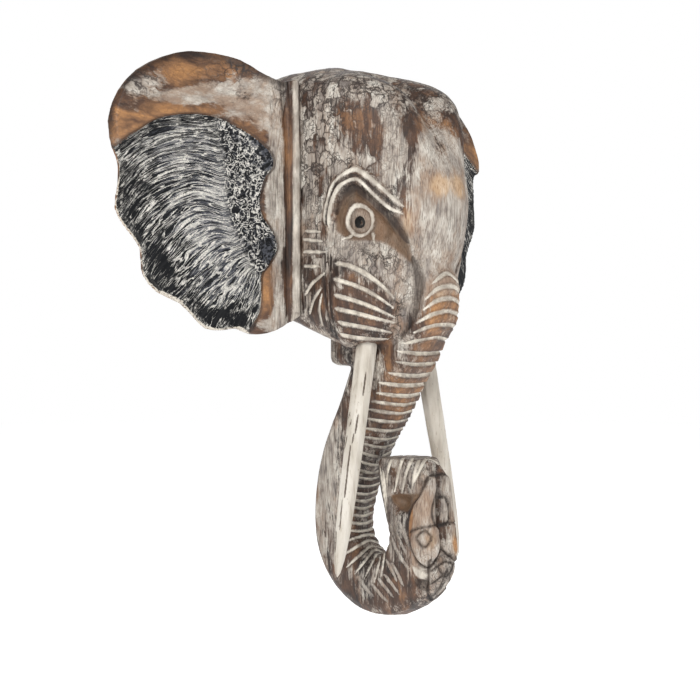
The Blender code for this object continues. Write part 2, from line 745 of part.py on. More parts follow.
def ear_curl(share_out, share_down):
    """How far the rim curls back to the wall here, from 0 to 1."""
    climb = 1 - share_down / 100 * EAR_HEIGHT / EAR_CURL_HEIGHT
    upward = min(1.0, max(0.0, climb)) ** 1.5
    outward = math.sin(math.pi / 2 * min(1.0, max(0.0, share_out / CURL_PEAK)))
    return upward * outward * (1 - 0.4 * max(0.0, share_out - CURL_PEAK) / (100 - CURL_PEAK))


def ear_thickness(share_out, share_down):
    """Board thickness, thinner where the rim nears the wall."""
    curl = min(1.0, 1.6 * ear_curl(share_out, share_down))
    return EAR_THICKNESS + (EAR_RIM_THICKNESS - EAR_THICKNESS) * curl


def ear_normal():
    """Direction that the front of the left ear board faces."""
    return Vector((math.sin(EAR_SWEEP), -math.cos(EAR_SWEEP), 0))


def put_on_side(mesh_data, side):
    """Keep a mesh on the left, or mirror it to the right."""
    if side < 0:
        bmesh.ops.scale(mesh_data, vec=(-1, 1, 1), verts=mesh_data.verts)
        bmesh.ops.reverse_faces(mesh_data, faces=mesh_data.faces)
    return mesh_data


def ear_slab(low_lift, high_lift):
    """Curved slab as large as the ear; each lift is a function or a number."""
    outs = [-14, 4, 17, 30, 44, 60, 80, 112]
    downs = [-9, 0, 8, 17, 28, 42, 75, 112]
    mesh_data = bmesh.new()
    sheets = []
    for lift in (low_lift, high_lift):
        sheets.append([
            [mesh_data.verts.new(ear_point(t, d, lift(t, d) if callable(lift) else lift)) for t in outs]
            for d in downs
        ])
    low, high = sheets
    rows, columns = len(downs), len(outs)
    for i in range(rows - 1):
        for j in range(columns - 1):
            for sheet in sheets:
                corners = (sheet[i][j], sheet[i][j + 1], sheet[i + 1][j + 1], sheet[i + 1][j])
                mesh_data.faces.new(corners[:3])
                mesh_data.faces.new((corners[0], corners[2], corners[3]))
    border = [(0, j) for j in range(columns - 1)]
    border += [(i, columns - 1) for i in range(rows - 1)]
    border += [(rows - 1, j) for j in range(columns - 1, 0, -1)]
    border += [(i, 0) for i in range(rows - 1, 0, -1)]
    for (i0, j0), (i1, j1) in zip(border, border[1:] + border[:1]):
        mesh_data.faces.new((low[i0][j0], low[i1][j1], high[i1][j1], high[i0][j0]))
    return mesh_data


def ear_outline_prism(line):
    """Upright prism over an outline, deeper than the whole ear."""
    reach = EAR_SEAT_DEPTH * 3
    mesh_data = bmesh.new()
    rims = []
    for y in (reach, -reach):
        rims.append([mesh_data.verts.new(Vector((*ear_point(t, d, 0).xz, y)).xzy) for t, d in line])
    mesh_data.faces.new(rims[0])
    mesh_data.faces.new(list(reversed(rims[1])))
    for i in range(len(line)):
        j = (i + 1) % len(line)
        mesh_data.faces.new((rims[0][i], rims[0][j], rims[1][j], rims[1][i]))
    return mesh_data


def ear_flutes():
    """Curved cuts that fan from the rough patch to the wavy edge."""
    mesh_data = bmesh.new()
    normal = ear_normal()
    for i in range(FLUTE_COUNT):
        share = (i + 0.35) / FLUTE_COUNT
        start = spline_point(FLUTE_STARTS, share * (len(FLUTE_STARTS) - 1))
        end = spline_point(FLUTE_ENDS, share * (len(FLUTE_ENDS) - 1))
        line = []
        for k in range(6):
            place = k / 5
            bow = FLUTE_RISE * 4 * place * (1 - place)
            t = start[0] + (end[0] - start[0]) * place
            d = start[1] + (end[1] - start[1]) * place - bow
            line.append(ear_point(t, d, -FIELD_RECESS))
        add_stroke(mesh_data, line, [normal] * len(line), FLUTE_WIDTH, FLUTE_DEPTH)
    return mesh_data


def joint_bar(from_joint, radius, lift, low_share, high_share):
    """Round bar that follows the ear's face beside the joint."""
    share = 100 * from_joint / EAR_WIDTH
    steps = 9
    sides = 8
    rings = []
    for i in range(steps + 1):
        centre = ear_point(share, low_share + (high_share - low_share) * i / steps, lift)
        rings.append([
            centre + Vector((math.cos(a), math.sin(a), 0)) * radius
            for a in (2 * math.pi * k / sides for k in range(sides))
        ])
    return loft(rings)


def joint_block():
    """Block that trims the ear to the flat side of the head."""
    mesh_data = bmesh.new()
    size = 2 * EAR_HEIGHT
    edge = HEAD_HALF_WIDTH + JOINT_GAP
    place = Matrix.Translation((edge - size / 2, -EAR_SEAT_DEPTH, 0))
    bmesh.ops.create_cube(mesh_data, size=size, matrix=place)
    return mesh_data


def make_ear(name, side):
    """One ear board with its bead, groove, sunk field and flutes."""

    def piece(label, mesh_data):
        return to_object(f"{name} {label}", put_on_side(mesh_data, side))

    board = ear_slab(lambda t, d: -ear_thickness(t, d), 0.0)
    ear = to_object(name, put_on_side(board, side), "ear")
    combine(ear, "INTERSECT", piece("outline", ear_outline_prism(smooth_line(EAR_OUTLINE, 2))))
    bead = joint_bar(BEAD_RADIUS * 0.9, BEAD_RADIUS, -BEAD_RADIUS * 0.35, 92.2, 7.6)
    combine(ear, "UNION", piece("bead", bead))
    groove = joint_bar(GROOVE_FROM_JOINT, GROOVE_RADIUS, GROOVE_RADIUS * 0.35, 108, -8)
    combine(ear, "DIFFERENCE", piece("groove", groove))
    field = piece("field", ear_slab(-FIELD_RECESS, EAR_THICKNESS))
    field_line = smooth_line(FIELD_EDGE, 2) + [(27, 110), (110, 110), (110, 36)]
    combine(field, "INTERSECT", piece("field outline", ear_outline_prism(field_line)))
    combine(ear, "DIFFERENCE", field)
    combine(ear, "DIFFERENCE", piece("flutes", ear_flutes()))
    combine(ear, "DIFFERENCE", piece("joint", joint_block()))
    return ear


def make_head():
    """Head, trunk and jaw as one carved block."""
    head = make_head_block()
    combine(head, "UNION", make_trunk())
    combine(head, "UNION", make_jaw())
    combine(head, "UNION", to_object("lobes", mirrored(make_lobes())))
    combine(head, "DIFFERENCE", make_sockets())
    combine(head, "UNION", make_eye_ring())
    for index, shares in enumerate(BROW_RIDGES):
        ridge = bmesh.new()
        add_ridge(ridge, shares, BROW_RADIUS)
        combine(head, "UNION", to_object(f"brow {index + 1}", mirrored(ridge)))
    combine(head, "DIFFERENCE", make_pupils())
    combine(head, "DIFFERENCE", make_face_strokes())
    combine(head, "DIFFERENCE", make_curl_eyes())
    combine(head, "DIFFERENCE", make_fold_strokes())
    combine(head, "DIFFERENCE", make_hollow())
    for side, label in ((-1, "right"), (1, "left")):
        combine(head, "DIFFERENCE", to_object(f"{label} tusk socket", tusk_mesh(side, JOINT_GAP)))
    return head


def main():
    """Build the whole mask."""
    clear_scene()
    make_head()
    for side, label in ((-1, "right"), (1, "left")):
        make_ear(f"{label}_ear", side)
        to_object(f"{label}_tusk", tusk_mesh(side, 0.0), "tusk")


main()
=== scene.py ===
"""Dress the carved elephant mask: fine relief, worn paint, soft light and camera.

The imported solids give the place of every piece.  Each one is copied, remeshed
fine enough to carve, and then worked like wood: knife cuts, ridges, hollows
and flutes are lines and outlines laid on the copy's surface, and each leaves a
paint mask that the materials read.  Lines on the visible side are given in
steps of the flat picture that the mask makes at the viewpoint, 700 across, and
are traced back to the surface; the other side is worked as its mirror image.
"""

import logging
import math
from dataclasses import dataclass, field
from enum import Enum

import bpy
import numpy as np
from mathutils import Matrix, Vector
from mathutils.bvhtree import BVHTree
from mathutils.kdtree import KDTree


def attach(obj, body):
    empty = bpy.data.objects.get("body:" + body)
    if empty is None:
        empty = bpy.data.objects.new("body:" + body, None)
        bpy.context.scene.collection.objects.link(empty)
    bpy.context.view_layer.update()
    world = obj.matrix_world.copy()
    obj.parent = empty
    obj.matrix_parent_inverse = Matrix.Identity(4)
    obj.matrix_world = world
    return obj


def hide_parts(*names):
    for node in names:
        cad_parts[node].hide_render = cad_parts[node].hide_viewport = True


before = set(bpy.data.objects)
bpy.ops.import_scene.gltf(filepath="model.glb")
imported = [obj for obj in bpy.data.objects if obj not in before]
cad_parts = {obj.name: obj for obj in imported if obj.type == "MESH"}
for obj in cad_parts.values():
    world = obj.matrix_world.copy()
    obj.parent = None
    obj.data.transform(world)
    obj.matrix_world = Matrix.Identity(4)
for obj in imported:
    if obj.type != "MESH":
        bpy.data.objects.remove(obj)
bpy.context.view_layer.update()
LOG = logging.getLogger("elephant_mask")

MM = 0.001
BODY = "root"
SMALLEST = 1e-6
Array = np.ndarray
Piece = bpy.types.Object
Socket = bpy.types.NodeSocket
Places = tuple[tuple[float, float], ...]
Dabs = dict[str, tuple[tuple[float, ...], ...]]
Colour = tuple[float, float, float]
WHITE: Colour = (1.0, 1.0, 1.0)


class Side(Enum):
    """Side of the elephant, with the sign of its x."""

    RIGHT = -1
    LEFT = 1


# ----------------------------------------------------------------- geometry


@dataclass(frozen=True)
class Viewpoint:
    """Where the mask is looked at from, and the flat picture it makes there."""

    eye: tuple[float, float, float] = (-1.0681, -1.1312, -0.160)
    turn: float = math.radians(45.0)
    dip: float = math.radians(1.79)
    steps: float = 1601.0
    middle: float = 350.0

    def axes(self) -> tuple[Array, Array, Array]:
        """Return the directions to the right, up and ahead."""
        ahead = np.array([
            math.sin(self.turn) * math.cos(self.dip),
            math.cos(self.turn) * math.cos(self.dip),
            -math.sin(self.dip),
        ])
        right = np.array([math.cos(self.turn), -math.sin(self.turn), 0.0])
        return right, np.cross(right, ahead), ahead

    def project(self, points: Array) -> Array:
        """Place points in the picture.

        Args:
            points: Points in space, one per row.

        Returns:
            Across and down in picture steps, one row per point.
        """
        right, up, ahead = self.axes()
        away = points - np.array(self.eye)
        deep = away @ ahead
        across = self.middle + self.steps * (away @ right) / deep
        down = self.middle - self.steps * (away @ up) / deep
        return np.column_stack((across, down))

    def ray(self, place: Array) -> Vector:
        """Return the direction in which a place of the picture lies."""
        right, up, ahead = self.axes()
        x = (place[0] - self.middle) / self.steps
        y = (self.middle - place[1]) / self.steps
        return Vector(ahead + right * x + up * y).normalized()


VIEW = Viewpoint()


def resample(line: Array, spacing: float) -> Array:
    """Smooth a line and space its points evenly.

    Args:
        line: Control points, one per row.
        spacing: Distance wanted between points, in the line's own unit.

    Returns:
        Evenly spaced points on a Catmull-Rom curve through the line.
    """
    last = len(line) - 1
    padded = np.vstack((line[0], line, line[-1]))
    fine = []
    for i in range(last):
        a, b, c, d = padded[i], padded[i + 1], padded[i + 2], padded[i + 3]
        for t in np.linspace(0, 1, 12, endpoint=False):
            slope_in = (c - a) / 2
            slope_out = (d - b) / 2
            cubic = 2 * b - 2 * c + slope_in + slope_out
            square = -3 * b + 3 * c - 2 * slope_in - slope_out
            fine.append(((cubic * t + square) * t + slope_in) * t + b)
    fine.append(line[-1])
    dense = np.array(fine)
    steps = np.linalg.norm(np.diff(dense, axis=0), axis=1)
    run = np.concatenate(([0.0], np.cumsum(steps)))
    count = max(2, int(round(run[-1] / spacing)) + 1)
    targets = np.linspace(0, run[-1], count)
    return np.column_stack([np.interp(targets, run, dense[:, k]) for k in range(dense.shape[1])])


def lattice(cells: Array, seed: int) -> Array:
    """Return a fixed scattered value from 0 to 1 for each whole-number cell."""
    mixed = cells[:, 0] * 73856093 ^ cells[:, 1] * 19349663 ^ cells[:, 2] * 83492791
    mixed = (mixed ^ (seed * 2654435761)) & 0xFFFFFFFF
    mixed = ((mixed ^ (mixed >> 15)) * 2246822519) & 0xFFFFFFFF
    mixed = ((mixed ^ (mixed >> 13)) * 3266489917) & 0xFFFFFFFF
    return ((mixed ^ (mixed >> 16)) & 0xFFFF) / 65535.0


def soft_noise(points: Array, size: tuple[float, float, float], seed: int) -> Array:
    """Smooth noise from -1 to 1.

    Args:
        points: Points in space, one per row.
        size: Size of the features along x, y and z.
        seed: Number that picks the pattern.

    Returns:
        One value per point.
    """
    scaled = points / np.array(size)
    cell = np.floor(scaled).astype(np.int64)
    share = scaled - cell
    share = share * share * (3 - 2 * share)
    total = np.zeros(len(points))
    for corner in range(8):
        offset = np.array([(corner >> k) & 1 for k in range(3)])
        weight = np.prod(np.where(offset, share, 1 - share), axis=1)
        total += weight * lattice(cell + offset, seed)
    return total * 2 - 1


def smoothstep(low: float, high: float, value: Array) -> Array:
    """Rise smoothly from 0 at low to 1 at high."""
    share = np.clip((value - low) / (high - low), 0, 1)
    return share * share * (3 - 2 * share)


def only(piece: Piece) -> None:
    """Select one object alone and make it active."""
    bpy.ops.object.select_all(action="DESELECT")
    piece.select_set(True)
    bpy.context.view_layer.objects.active = piece


def apply_modifier(piece: Piece, kind: str, **settings: object) -> None:
    """Add a modifier to a piece, set it and apply it.

    Args:
        piece: Object to change.
        kind: Blender's name of the modifier type.
        **settings: Values of the modifier's own properties.
    """
    only(piece)
    modifier = piece.modifiers.new(kind.title(), kind)
    for name, value in settings.items():
        setattr(modifier, name, value)
    bpy.ops.object.modifier_apply(modifier=modifier.name)


def working_copy(node: str, name: str, voxel: float) -> Piece:
    """Copy a solid and remesh the copy finely.

    Args:
        node: Name of the solid.
        name: Name of the new piece.
        voxel: Edge of the new mesh's squares.

    Returns:
        The new piece, with its place in its mesh.
    """
    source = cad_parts[node]
    piece = bpy.data.objects.new(name, source.data.copy())
    piece.data.name = name
    bpy.context.scene.collection.objects.link(piece)
    piece.data.materials.clear()
    only(piece)
    bpy.ops.object.mode_set(mode="EDIT")
    bpy.ops.mesh.select_all(action="SELECT")
    bpy.ops.mesh.remove_doubles(threshold=0.00001)
    bpy.ops.object.mode_set(mode="OBJECT")
    while piece.data.attributes.get("custom_normal"):
        piece.data.attributes.remove(piece.data.attributes["custom_normal"])
    piece.data.remesh_voxel_size = voxel
    bpy.ops.object.voxel_remesh()
    return piece


def weight_group(piece: Piece, name: str, weights: Array) -> None:
    """Give a piece a vertex group, in steps of a tenth."""
    group = piece.vertex_groups.new(name=name)
    levels = np.round(np.clip(weights, 0, 1) * 10).astype(int)
    for level in range(1, 11):
        members = np.flatnonzero(levels == level).tolist()
        if members:
            group.add(members, level / 10, "REPLACE")


def positions(piece: Piece) -> Array:
    """Return a piece's vertices, one per row."""
    flat = np.empty(len(piece.data.vertices) * 3)
    piece.data.vertices.foreach_get("co", flat)
    return flat.reshape(-1, 3)


@dataclass(frozen=True)
class Knife:
    """One kind of cut: its width and depth, and how soon it comes to full size."""

    width: float
    depth: float
    lead_in: float
    lead_out: float


class Carving:
    """Relief and paint masks worked into one fine mesh.

    Both sides of the piece are folded onto the near one, and the lines of a
    piece that lies on the far side are traced by the mirrored ray.
    """

    blunt: float = 1.35
    lip_height: float = 0.18 * MM
    lip_width: float = 0.9 * MM
    lip_place: float = 1.15
    # Place of the band of painted shade beside a cut, in half widths of the cut.
    shade_rim_place: float = 1.1
    lead: float = 0.3 * MM
    wrap_step: float = 3 * MM

    def __init__(self, piece: Piece) -> None:
        """Read the piece's surface and fold both sides onto the near one."""
        self.piece = piece
        self.base = positions(piece)
        flat = np.empty(len(self.base) * 3)
        piece.data.vertices.foreach_get("normal", flat)
        self.normals = flat.reshape(-1, 3)
        mirror = np.ones((len(self.base), 3))
        mirror[self.base[:, 0] > 0, 0] = -1
        self.folded = self.base * mirror
        self.folded_normals = self.normals * mirror
        self.flip = np.array([-1.0 if self.base[:, 0].min() > 0 else 1.0, 1.0, 1.0])
        self.seen = VIEW.project(self.folded)
        sight = np.array(VIEW.eye) - self.folded
        sight /= np.linalg.norm(sight, axis=1)[:, None]
        self.facing = np.sum(sight * self.folded_normals, axis=1)
        self.lift = np.zeros(len(self.base))
        self.masks: dict[str, Array] = {}
        self.surface = BVHTree.FromObject(piece, bpy.context.evaluated_depsgraph_get())

    def mask(self, name: str) -> Array:
        """Return a paint mask, made on first use."""
        return self.masks.setdefault(name, np.zeros(len(self.base)))

    def trace(self, places: Places, spacing: float = 1.6) -> Array:
        """Lay a line of the picture on the surface.

        Args:
            places: Control places in picture steps.
            spacing: Distance between rays, in the same steps.

        Returns:
            Points of the surface on the near side, one per row.
        """
        eye = Vector(self.flip * VIEW.eye)
        hits = []
        for place in resample(np.array(places, float), spacing):
            point = self.surface.ray_cast(eye, Vector(self.flip * VIEW.ray(place)))[0]
            if point is not None:
                hits.append(self.flip * point)
        return np.array(hits).reshape(-1, 3)

    def wrap(self, points: Array) -> Array:
        """Carry a line on across the front as far as the midline."""
        points = points[points[:, 0] < -2 * MM]
        if len(points) == 0:
            return points
        end = points[-1]
        extra = []
        for x in np.arange(end[0] + self.wrap_step, 0.0, self.wrap_step).tolist() + [0.0]:
            found = self.surface.find_nearest(Vector((x, end[1], end[2])))[0]
            extra.append((x, found.y, found.z))
        return np.vstack((points, extra))

    def along(self, points: Array, reach: float) -> tuple[Array, ...]:
        """Measure the vertices near a line.

        Args:
            points: Line on the near side.
            reach: How far from it to look.

        Returns:
            Index of each vertex, its distance and its place along the line,
            and the line's length.
        """
        low = points.min(axis=0) - reach
        high = points.max(axis=0) + reach
        index = np.flatnonzero(np.all((self.folded > low) & (self.folded < high), axis=1))
        spots = self.folded[index]
        best = np.full(len(index), np.inf)
        place = np.zeros(len(index))
        run = 0.0
        for start, end in zip(points, points[1:]):
            step = end - start
            length = float(np.linalg.norm(step))
            if length < 1e-7:
                continue
            share = np.clip((spots - start) @ step / length**2, 0, 1)
            distance = np.linalg.norm(spots - start - share[:, None] * step, axis=1)
            closer = distance < best
            best[closer] = distance[closer]
            place[closer] = run + share[closer] * length
            run += length
        return index, best, place, run

    def fullness(self, place: Array, length: float, knife: Knife) -> Array:
        """How near to full size a cut is along its length, from 0 to 1."""
        rise = np.clip((place + self.lead) / max(knife.lead_in, SMALLEST), 0, 1)
        fall = np.clip((length - place + self.lead) / max(knife.lead_out, SMALLEST), 0, 1)
        return np.sqrt(np.minimum(rise, fall))

    def cut(self, points: Array, knife: Knife, mask: str = "cut") -> None:
        """Sink a V-shaped cut along a line, mark it for paint and mark a band of painted shade just outside
        its edges.

        Args:
            points: Line on the near side, one point per row.
            knife: Kind of cut.
            mask: Paint mask to fill along the bottom of the cut.
        """
        if len(points) < 2:
            return
        index, distance, place, length = self.along(points, knife.width)
        full = self.fullness(place, length, knife)
        half = np.maximum(knife.width / 2 * full, SMALLEST)
        inside = np.clip(1 - distance / half, 0, 1)
        self.lift[index] -= knife.depth * full * np.minimum(1, inside * self.blunt)
        lip = np.exp(-(((distance - half * self.lip_place) / self.lip_width) ** 2)) * full
        self.lift[index] += self.lip_height * lip
        target = self.mask(mask)
        target[index] = np.maximum(target[index], smoothstep(0.0, 0.38, inside))
        # Painted shade: a dark band just outside the cut's edges, kept in the rim mask.
        edge = np.exp(-(((distance - half * self.shade_rim_place) / self.lip_width) ** 2)) * full
        rim = self.mask("rim")
        rim[index] = np.maximum(rim[index], edge)

    def cut_lines(self, lines: tuple[Places, ...], knife: Knife, mask: str = "cut",
                  spacing: float = 1.6) -> None:
        """Cut several lines of the picture with one knife."""
        for line in lines:
            self.cut(self.trace(line, spacing), knife, mask)

    def ridge(self, points: Array, knife: Knife, mask: str = "cut") -> None:
        """Raise a round ridge along a line and mark its back for paint.

        Args:
            points: Line on the near side, one point per row.
            knife: Width, height and ends of the ridge.
            mask: Paint mask to fill along its back, or nothing for bare wood.
        """
        if len(points) < 2:
            return
        index, distance, place, length = self.along(points, knife.width)
        full = self.fullness(place, length, knife)
        half = np.maximum(knife.width / 2 * full, SMALLEST)
        crown = np.sqrt(np.clip(1 - (distance / half) ** 2, 0, 1))
        self.lift[index] += knife.depth * full * crown
        if not mask:
            return
        target = self.mask(mask)
        target[index] = np.maximum(target[index], smoothstep(0.25, 0.7, crown))

    def inside(self, outline: Places, soft: float, facing: float = 0.12) -> Array:
        """How far inside an outline of the picture each vertex lies.

        Args:
            outline: Corners in picture steps.
            soft: Width over which the share rises from 0 at the outline to 1.
            facing: How squarely a face must look at the viewpoint.

        Returns:
            Share from 0 to 1, one per vertex.
        """
        corners = resample(np.array(outline + outline[:1], float), 2.5)
        result = np.zeros(len(self.base))
        low = corners.min(axis=0)
        high = corners.max(axis=0)
        near = np.all((self.seen > low) & (self.seen < high), axis=1) & (self.facing > facing)
        index = np.flatnonzero(near)
        spots = self.seen[index]
        odd = np.zeros(len(index), bool)
        gap = np.full(len(index), np.inf)
        for start, end in zip(corners, np.roll(corners, -1, axis=0)):
            step = end - start
            length = max(float(step @ step), 1e-9)
            share = np.clip((spots - start) @ step / length, 0, 1)
            gap = np.minimum(gap, np.linalg.norm(spots - start - share[:, None] * step, axis=1))
            crosses = (start[1] > spots[:, 1]) != (end[1] > spots[:, 1])
            rise = end[1] - start[1] if abs(end[1] - start[1]) > 1e-9 else 1e-9
            odd ^= crosses & (spots[:, 0] < start[0] + (spots[:, 1] - start[1]) * step[0] / rise)
        shown = smoothstep(facing, facing + 0.2, self.facing[index])
        result[index] = np.where(odd, smoothstep(0, soft, gap), 0) * shown
        return result

    def dab(self, name: str, spot: tuple[float, ...]) -> None:
        """Add paint in a soft oval of the picture.

        Args:
            name: Mask to paint on.
            spot: Centre across and down, half width, half height, and the
                amount at the centre, which takes paint away when below 0.
        """
        x, y, wide, high, strength = spot
        away = ((self.seen[:, 0] - x) / wide) ** 2 + ((self.seen[:, 1] - y) / high) ** 2
        shown = smoothstep(-0.1, 0.2, self.facing)
        self.mask(name)[:] += strength * np.exp(-away) * shown

    def dab_all(self, table: Dabs) -> None:
        """Add every dab of a table, mask by mask."""
        for name, spots in table.items():
            for spot in spots:
                self.dab(name, spot)

    def finish(self, limit: int = 0) -> None:
        """Move the vertices, store the masks and thin the mesh to a limit."""
        moved = self.base + self.normals * self.lift[:, None]
        mesh = self.piece.data
        mesh.vertices.foreach_set("co", moved.ravel())
        for name, values in self.masks.items():
            layer = mesh.attributes.new(name, "FLOAT", "POINT")
            layer.data.foreach_set("value", np.clip(values, -1, 2).astype(np.float32))
        mesh.update()
        mesh.calc_loop_triangles()
        count = len(mesh.loop_triangles)
        if limit and count > limit:
            apply_modifier(self.piece, "DECIMATE", ratio=limit / count)
        only(self.piece)
        bpy.ops.object.shade_smooth()


# ---------------------------------------------------------------- materials


class Graph:
    """Short hand for laying out shader nodes."""

    def __init__(self, tree: bpy.types.NodeTree) -> None:
        """Start on a node tree."""
        self.tree = tree

    def node(self, kind: str, **settings: object) -> bpy.types.Node:
        """Add a node and set its properties."""
        made = self.tree.nodes.new(kind)
        for name, value in settings.items():
            setattr(made, name, value)
        return made

    def feed(self, socket: Socket, value: object) -> None:
        """Link a socket to another one, or set its value."""
        if isinstance(value, Socket):
            self.tree.links.new(value, socket)
        elif isinstance(value, tuple) and socket.type == "RGBA":
            socket.default_value = (*value, 1.0)
        elif value is not None:
            socket.default_value = value

    def math(self, operation: str, a: object, b: object = None, c: object = None,
             clamp: bool = False) -> Socket:
        """Return the result of a sum on up to three values."""
        made = self.node("ShaderNodeMath", operation=operation, use_clamp=clamp)
        for socket, value in zip(made.inputs, (a, b, c)):
            self.feed(socket, value)
        return made.outputs[0]

    def plus(self, a: object, b: object) -> Socket:
        """Return a sum."""
        return self.math("ADD", a, b)

    def minus(self, a: object, b: object) -> Socket:
        """Return a difference."""
        return self.math("SUBTRACT", a, b)

    def times(self, a: object, b: object, clamp: bool = False) -> Socket:
        """Return a product."""
        return self.math("MULTIPLY", a, b, clamp=clamp)

    def fit(self, a: object, b: object, c: object) -> Socket:
        """Return a times b, plus c."""
        return self.math("MULTIPLY_ADD", a, b, c)

    def most(self, a: object, b: object) -> Socket:
        """Return the larger of two values."""
        return self.math("MAXIMUM", a, b)

    def rise(self, value: object, low: float, high: float) -> Socket:
        """Return a smooth step from 0 at low to 1 at high."""
        made = self.node("ShaderNodeMapRange", interpolation_type="SMOOTHSTEP")
        self.feed(made.inputs["Value"], value)
        made.inputs["From Min"].default_value = low
        made.inputs["From Max"].default_value = high
        return made.outputs["Result"]

    def fall(self, value: object, low: float, high: float) -> Socket:
        """Return a smooth step from 1 at low to 0 at high."""
        return self.minus(1.0, self.rise(value, low, high))

    def mix(self, share: object, a: object, b: object, blend: str = "MIX") -> Socket:
        """Return a mix of two colours."""
        made = self.node("ShaderNodeMix", data_type="RGBA", blend_type=blend)
        self.feed(made.inputs[0], share)
        self.feed(made.inputs[6], a)
        self.feed(made.inputs[7], b)
        return made.outputs[2]

    def stretch(self, vector: object, scale: tuple[float, float, float],
                shift: tuple[float, float, float] = (0.0, 0.0, 0.0)) -> Socket:
        """Return coordinates scaled along each axis and shifted."""
        made = self.node("ShaderNodeMapping")
        self.feed(made.inputs["Vector"], vector)
        made.inputs["Scale"].default_value = scale
        made.inputs["Location"].default_value = shift
        return made.outputs[0]

    def noise(self, vector: object, detail: float = 4.0, rough: float = 0.55,
              warp: float = 0.0) -> Socket:
        """Return noise from 0 to 1 with features one unit large."""
        made = self.node("ShaderNodeTexNoise")
        self.feed(made.inputs["Vector"], vector)
        made.inputs["Scale"].default_value = 1.0
        made.inputs["Detail"].default_value = detail
        made.inputs["Roughness"].default_value = rough
        made.inputs["Distortion"].default_value = warp
        return made.outputs["Fac"]

    def cells(self, vector: object, scale: float, feature: str) -> bpy.types.NodeOutputs:
        """Return the outputs of a pattern of cells."""
        made = self.node("ShaderNodeTexVoronoi", feature=feature)
        self.feed(made.inputs["Vector"], vector)
        self.feed(made.inputs["Scale"], scale)
        return made.outputs

    def ramp(self, share: object, stops: tuple) -> Socket:
        """Return a colour ramp; each stop is a place and a colour."""
        made = self.node("ShaderNodeValToRGB")
        self.feed(made.inputs[0], share)
        elements = made.color_ramp.elements
        while len(elements) < len(stops):
            elements.new(0.5)
        for element, (place, colour) in zip(elements, stops):
            element.position = place
            element.color = (*colour, 1.0)
        return made.outputs[0]

    def attribute(self, name: str) -> Socket:
        """Return a paint mask of the piece."""
        return self.node("ShaderNodeAttribute", attribute_name=name).outputs["Fac"]


def new_group(name: str, inputs: list, outputs: tuple) -> tuple[bpy.types.NodeTree, Graph]:
    """Start a shader node group.

    Args:
        name: Name of the group.
        inputs: Name, socket type and default of each input.
        outputs: Name and socket type of each output.

    Returns:
        The group and a graph on it.
    """
    tree = bpy.data.node_groups.new(name, "ShaderNodeTree")
    for label, kind, default in inputs:
        socket = tree.interface.new_socket(name=label, in_out="INPUT", socket_type=kind)
        if default is not None:
            socket.default_value = default
    for label, kind in outputs:
        tree.interface.new_socket(name=label, in_out="OUTPUT", socket_type=kind)
    return tree, Graph(tree)


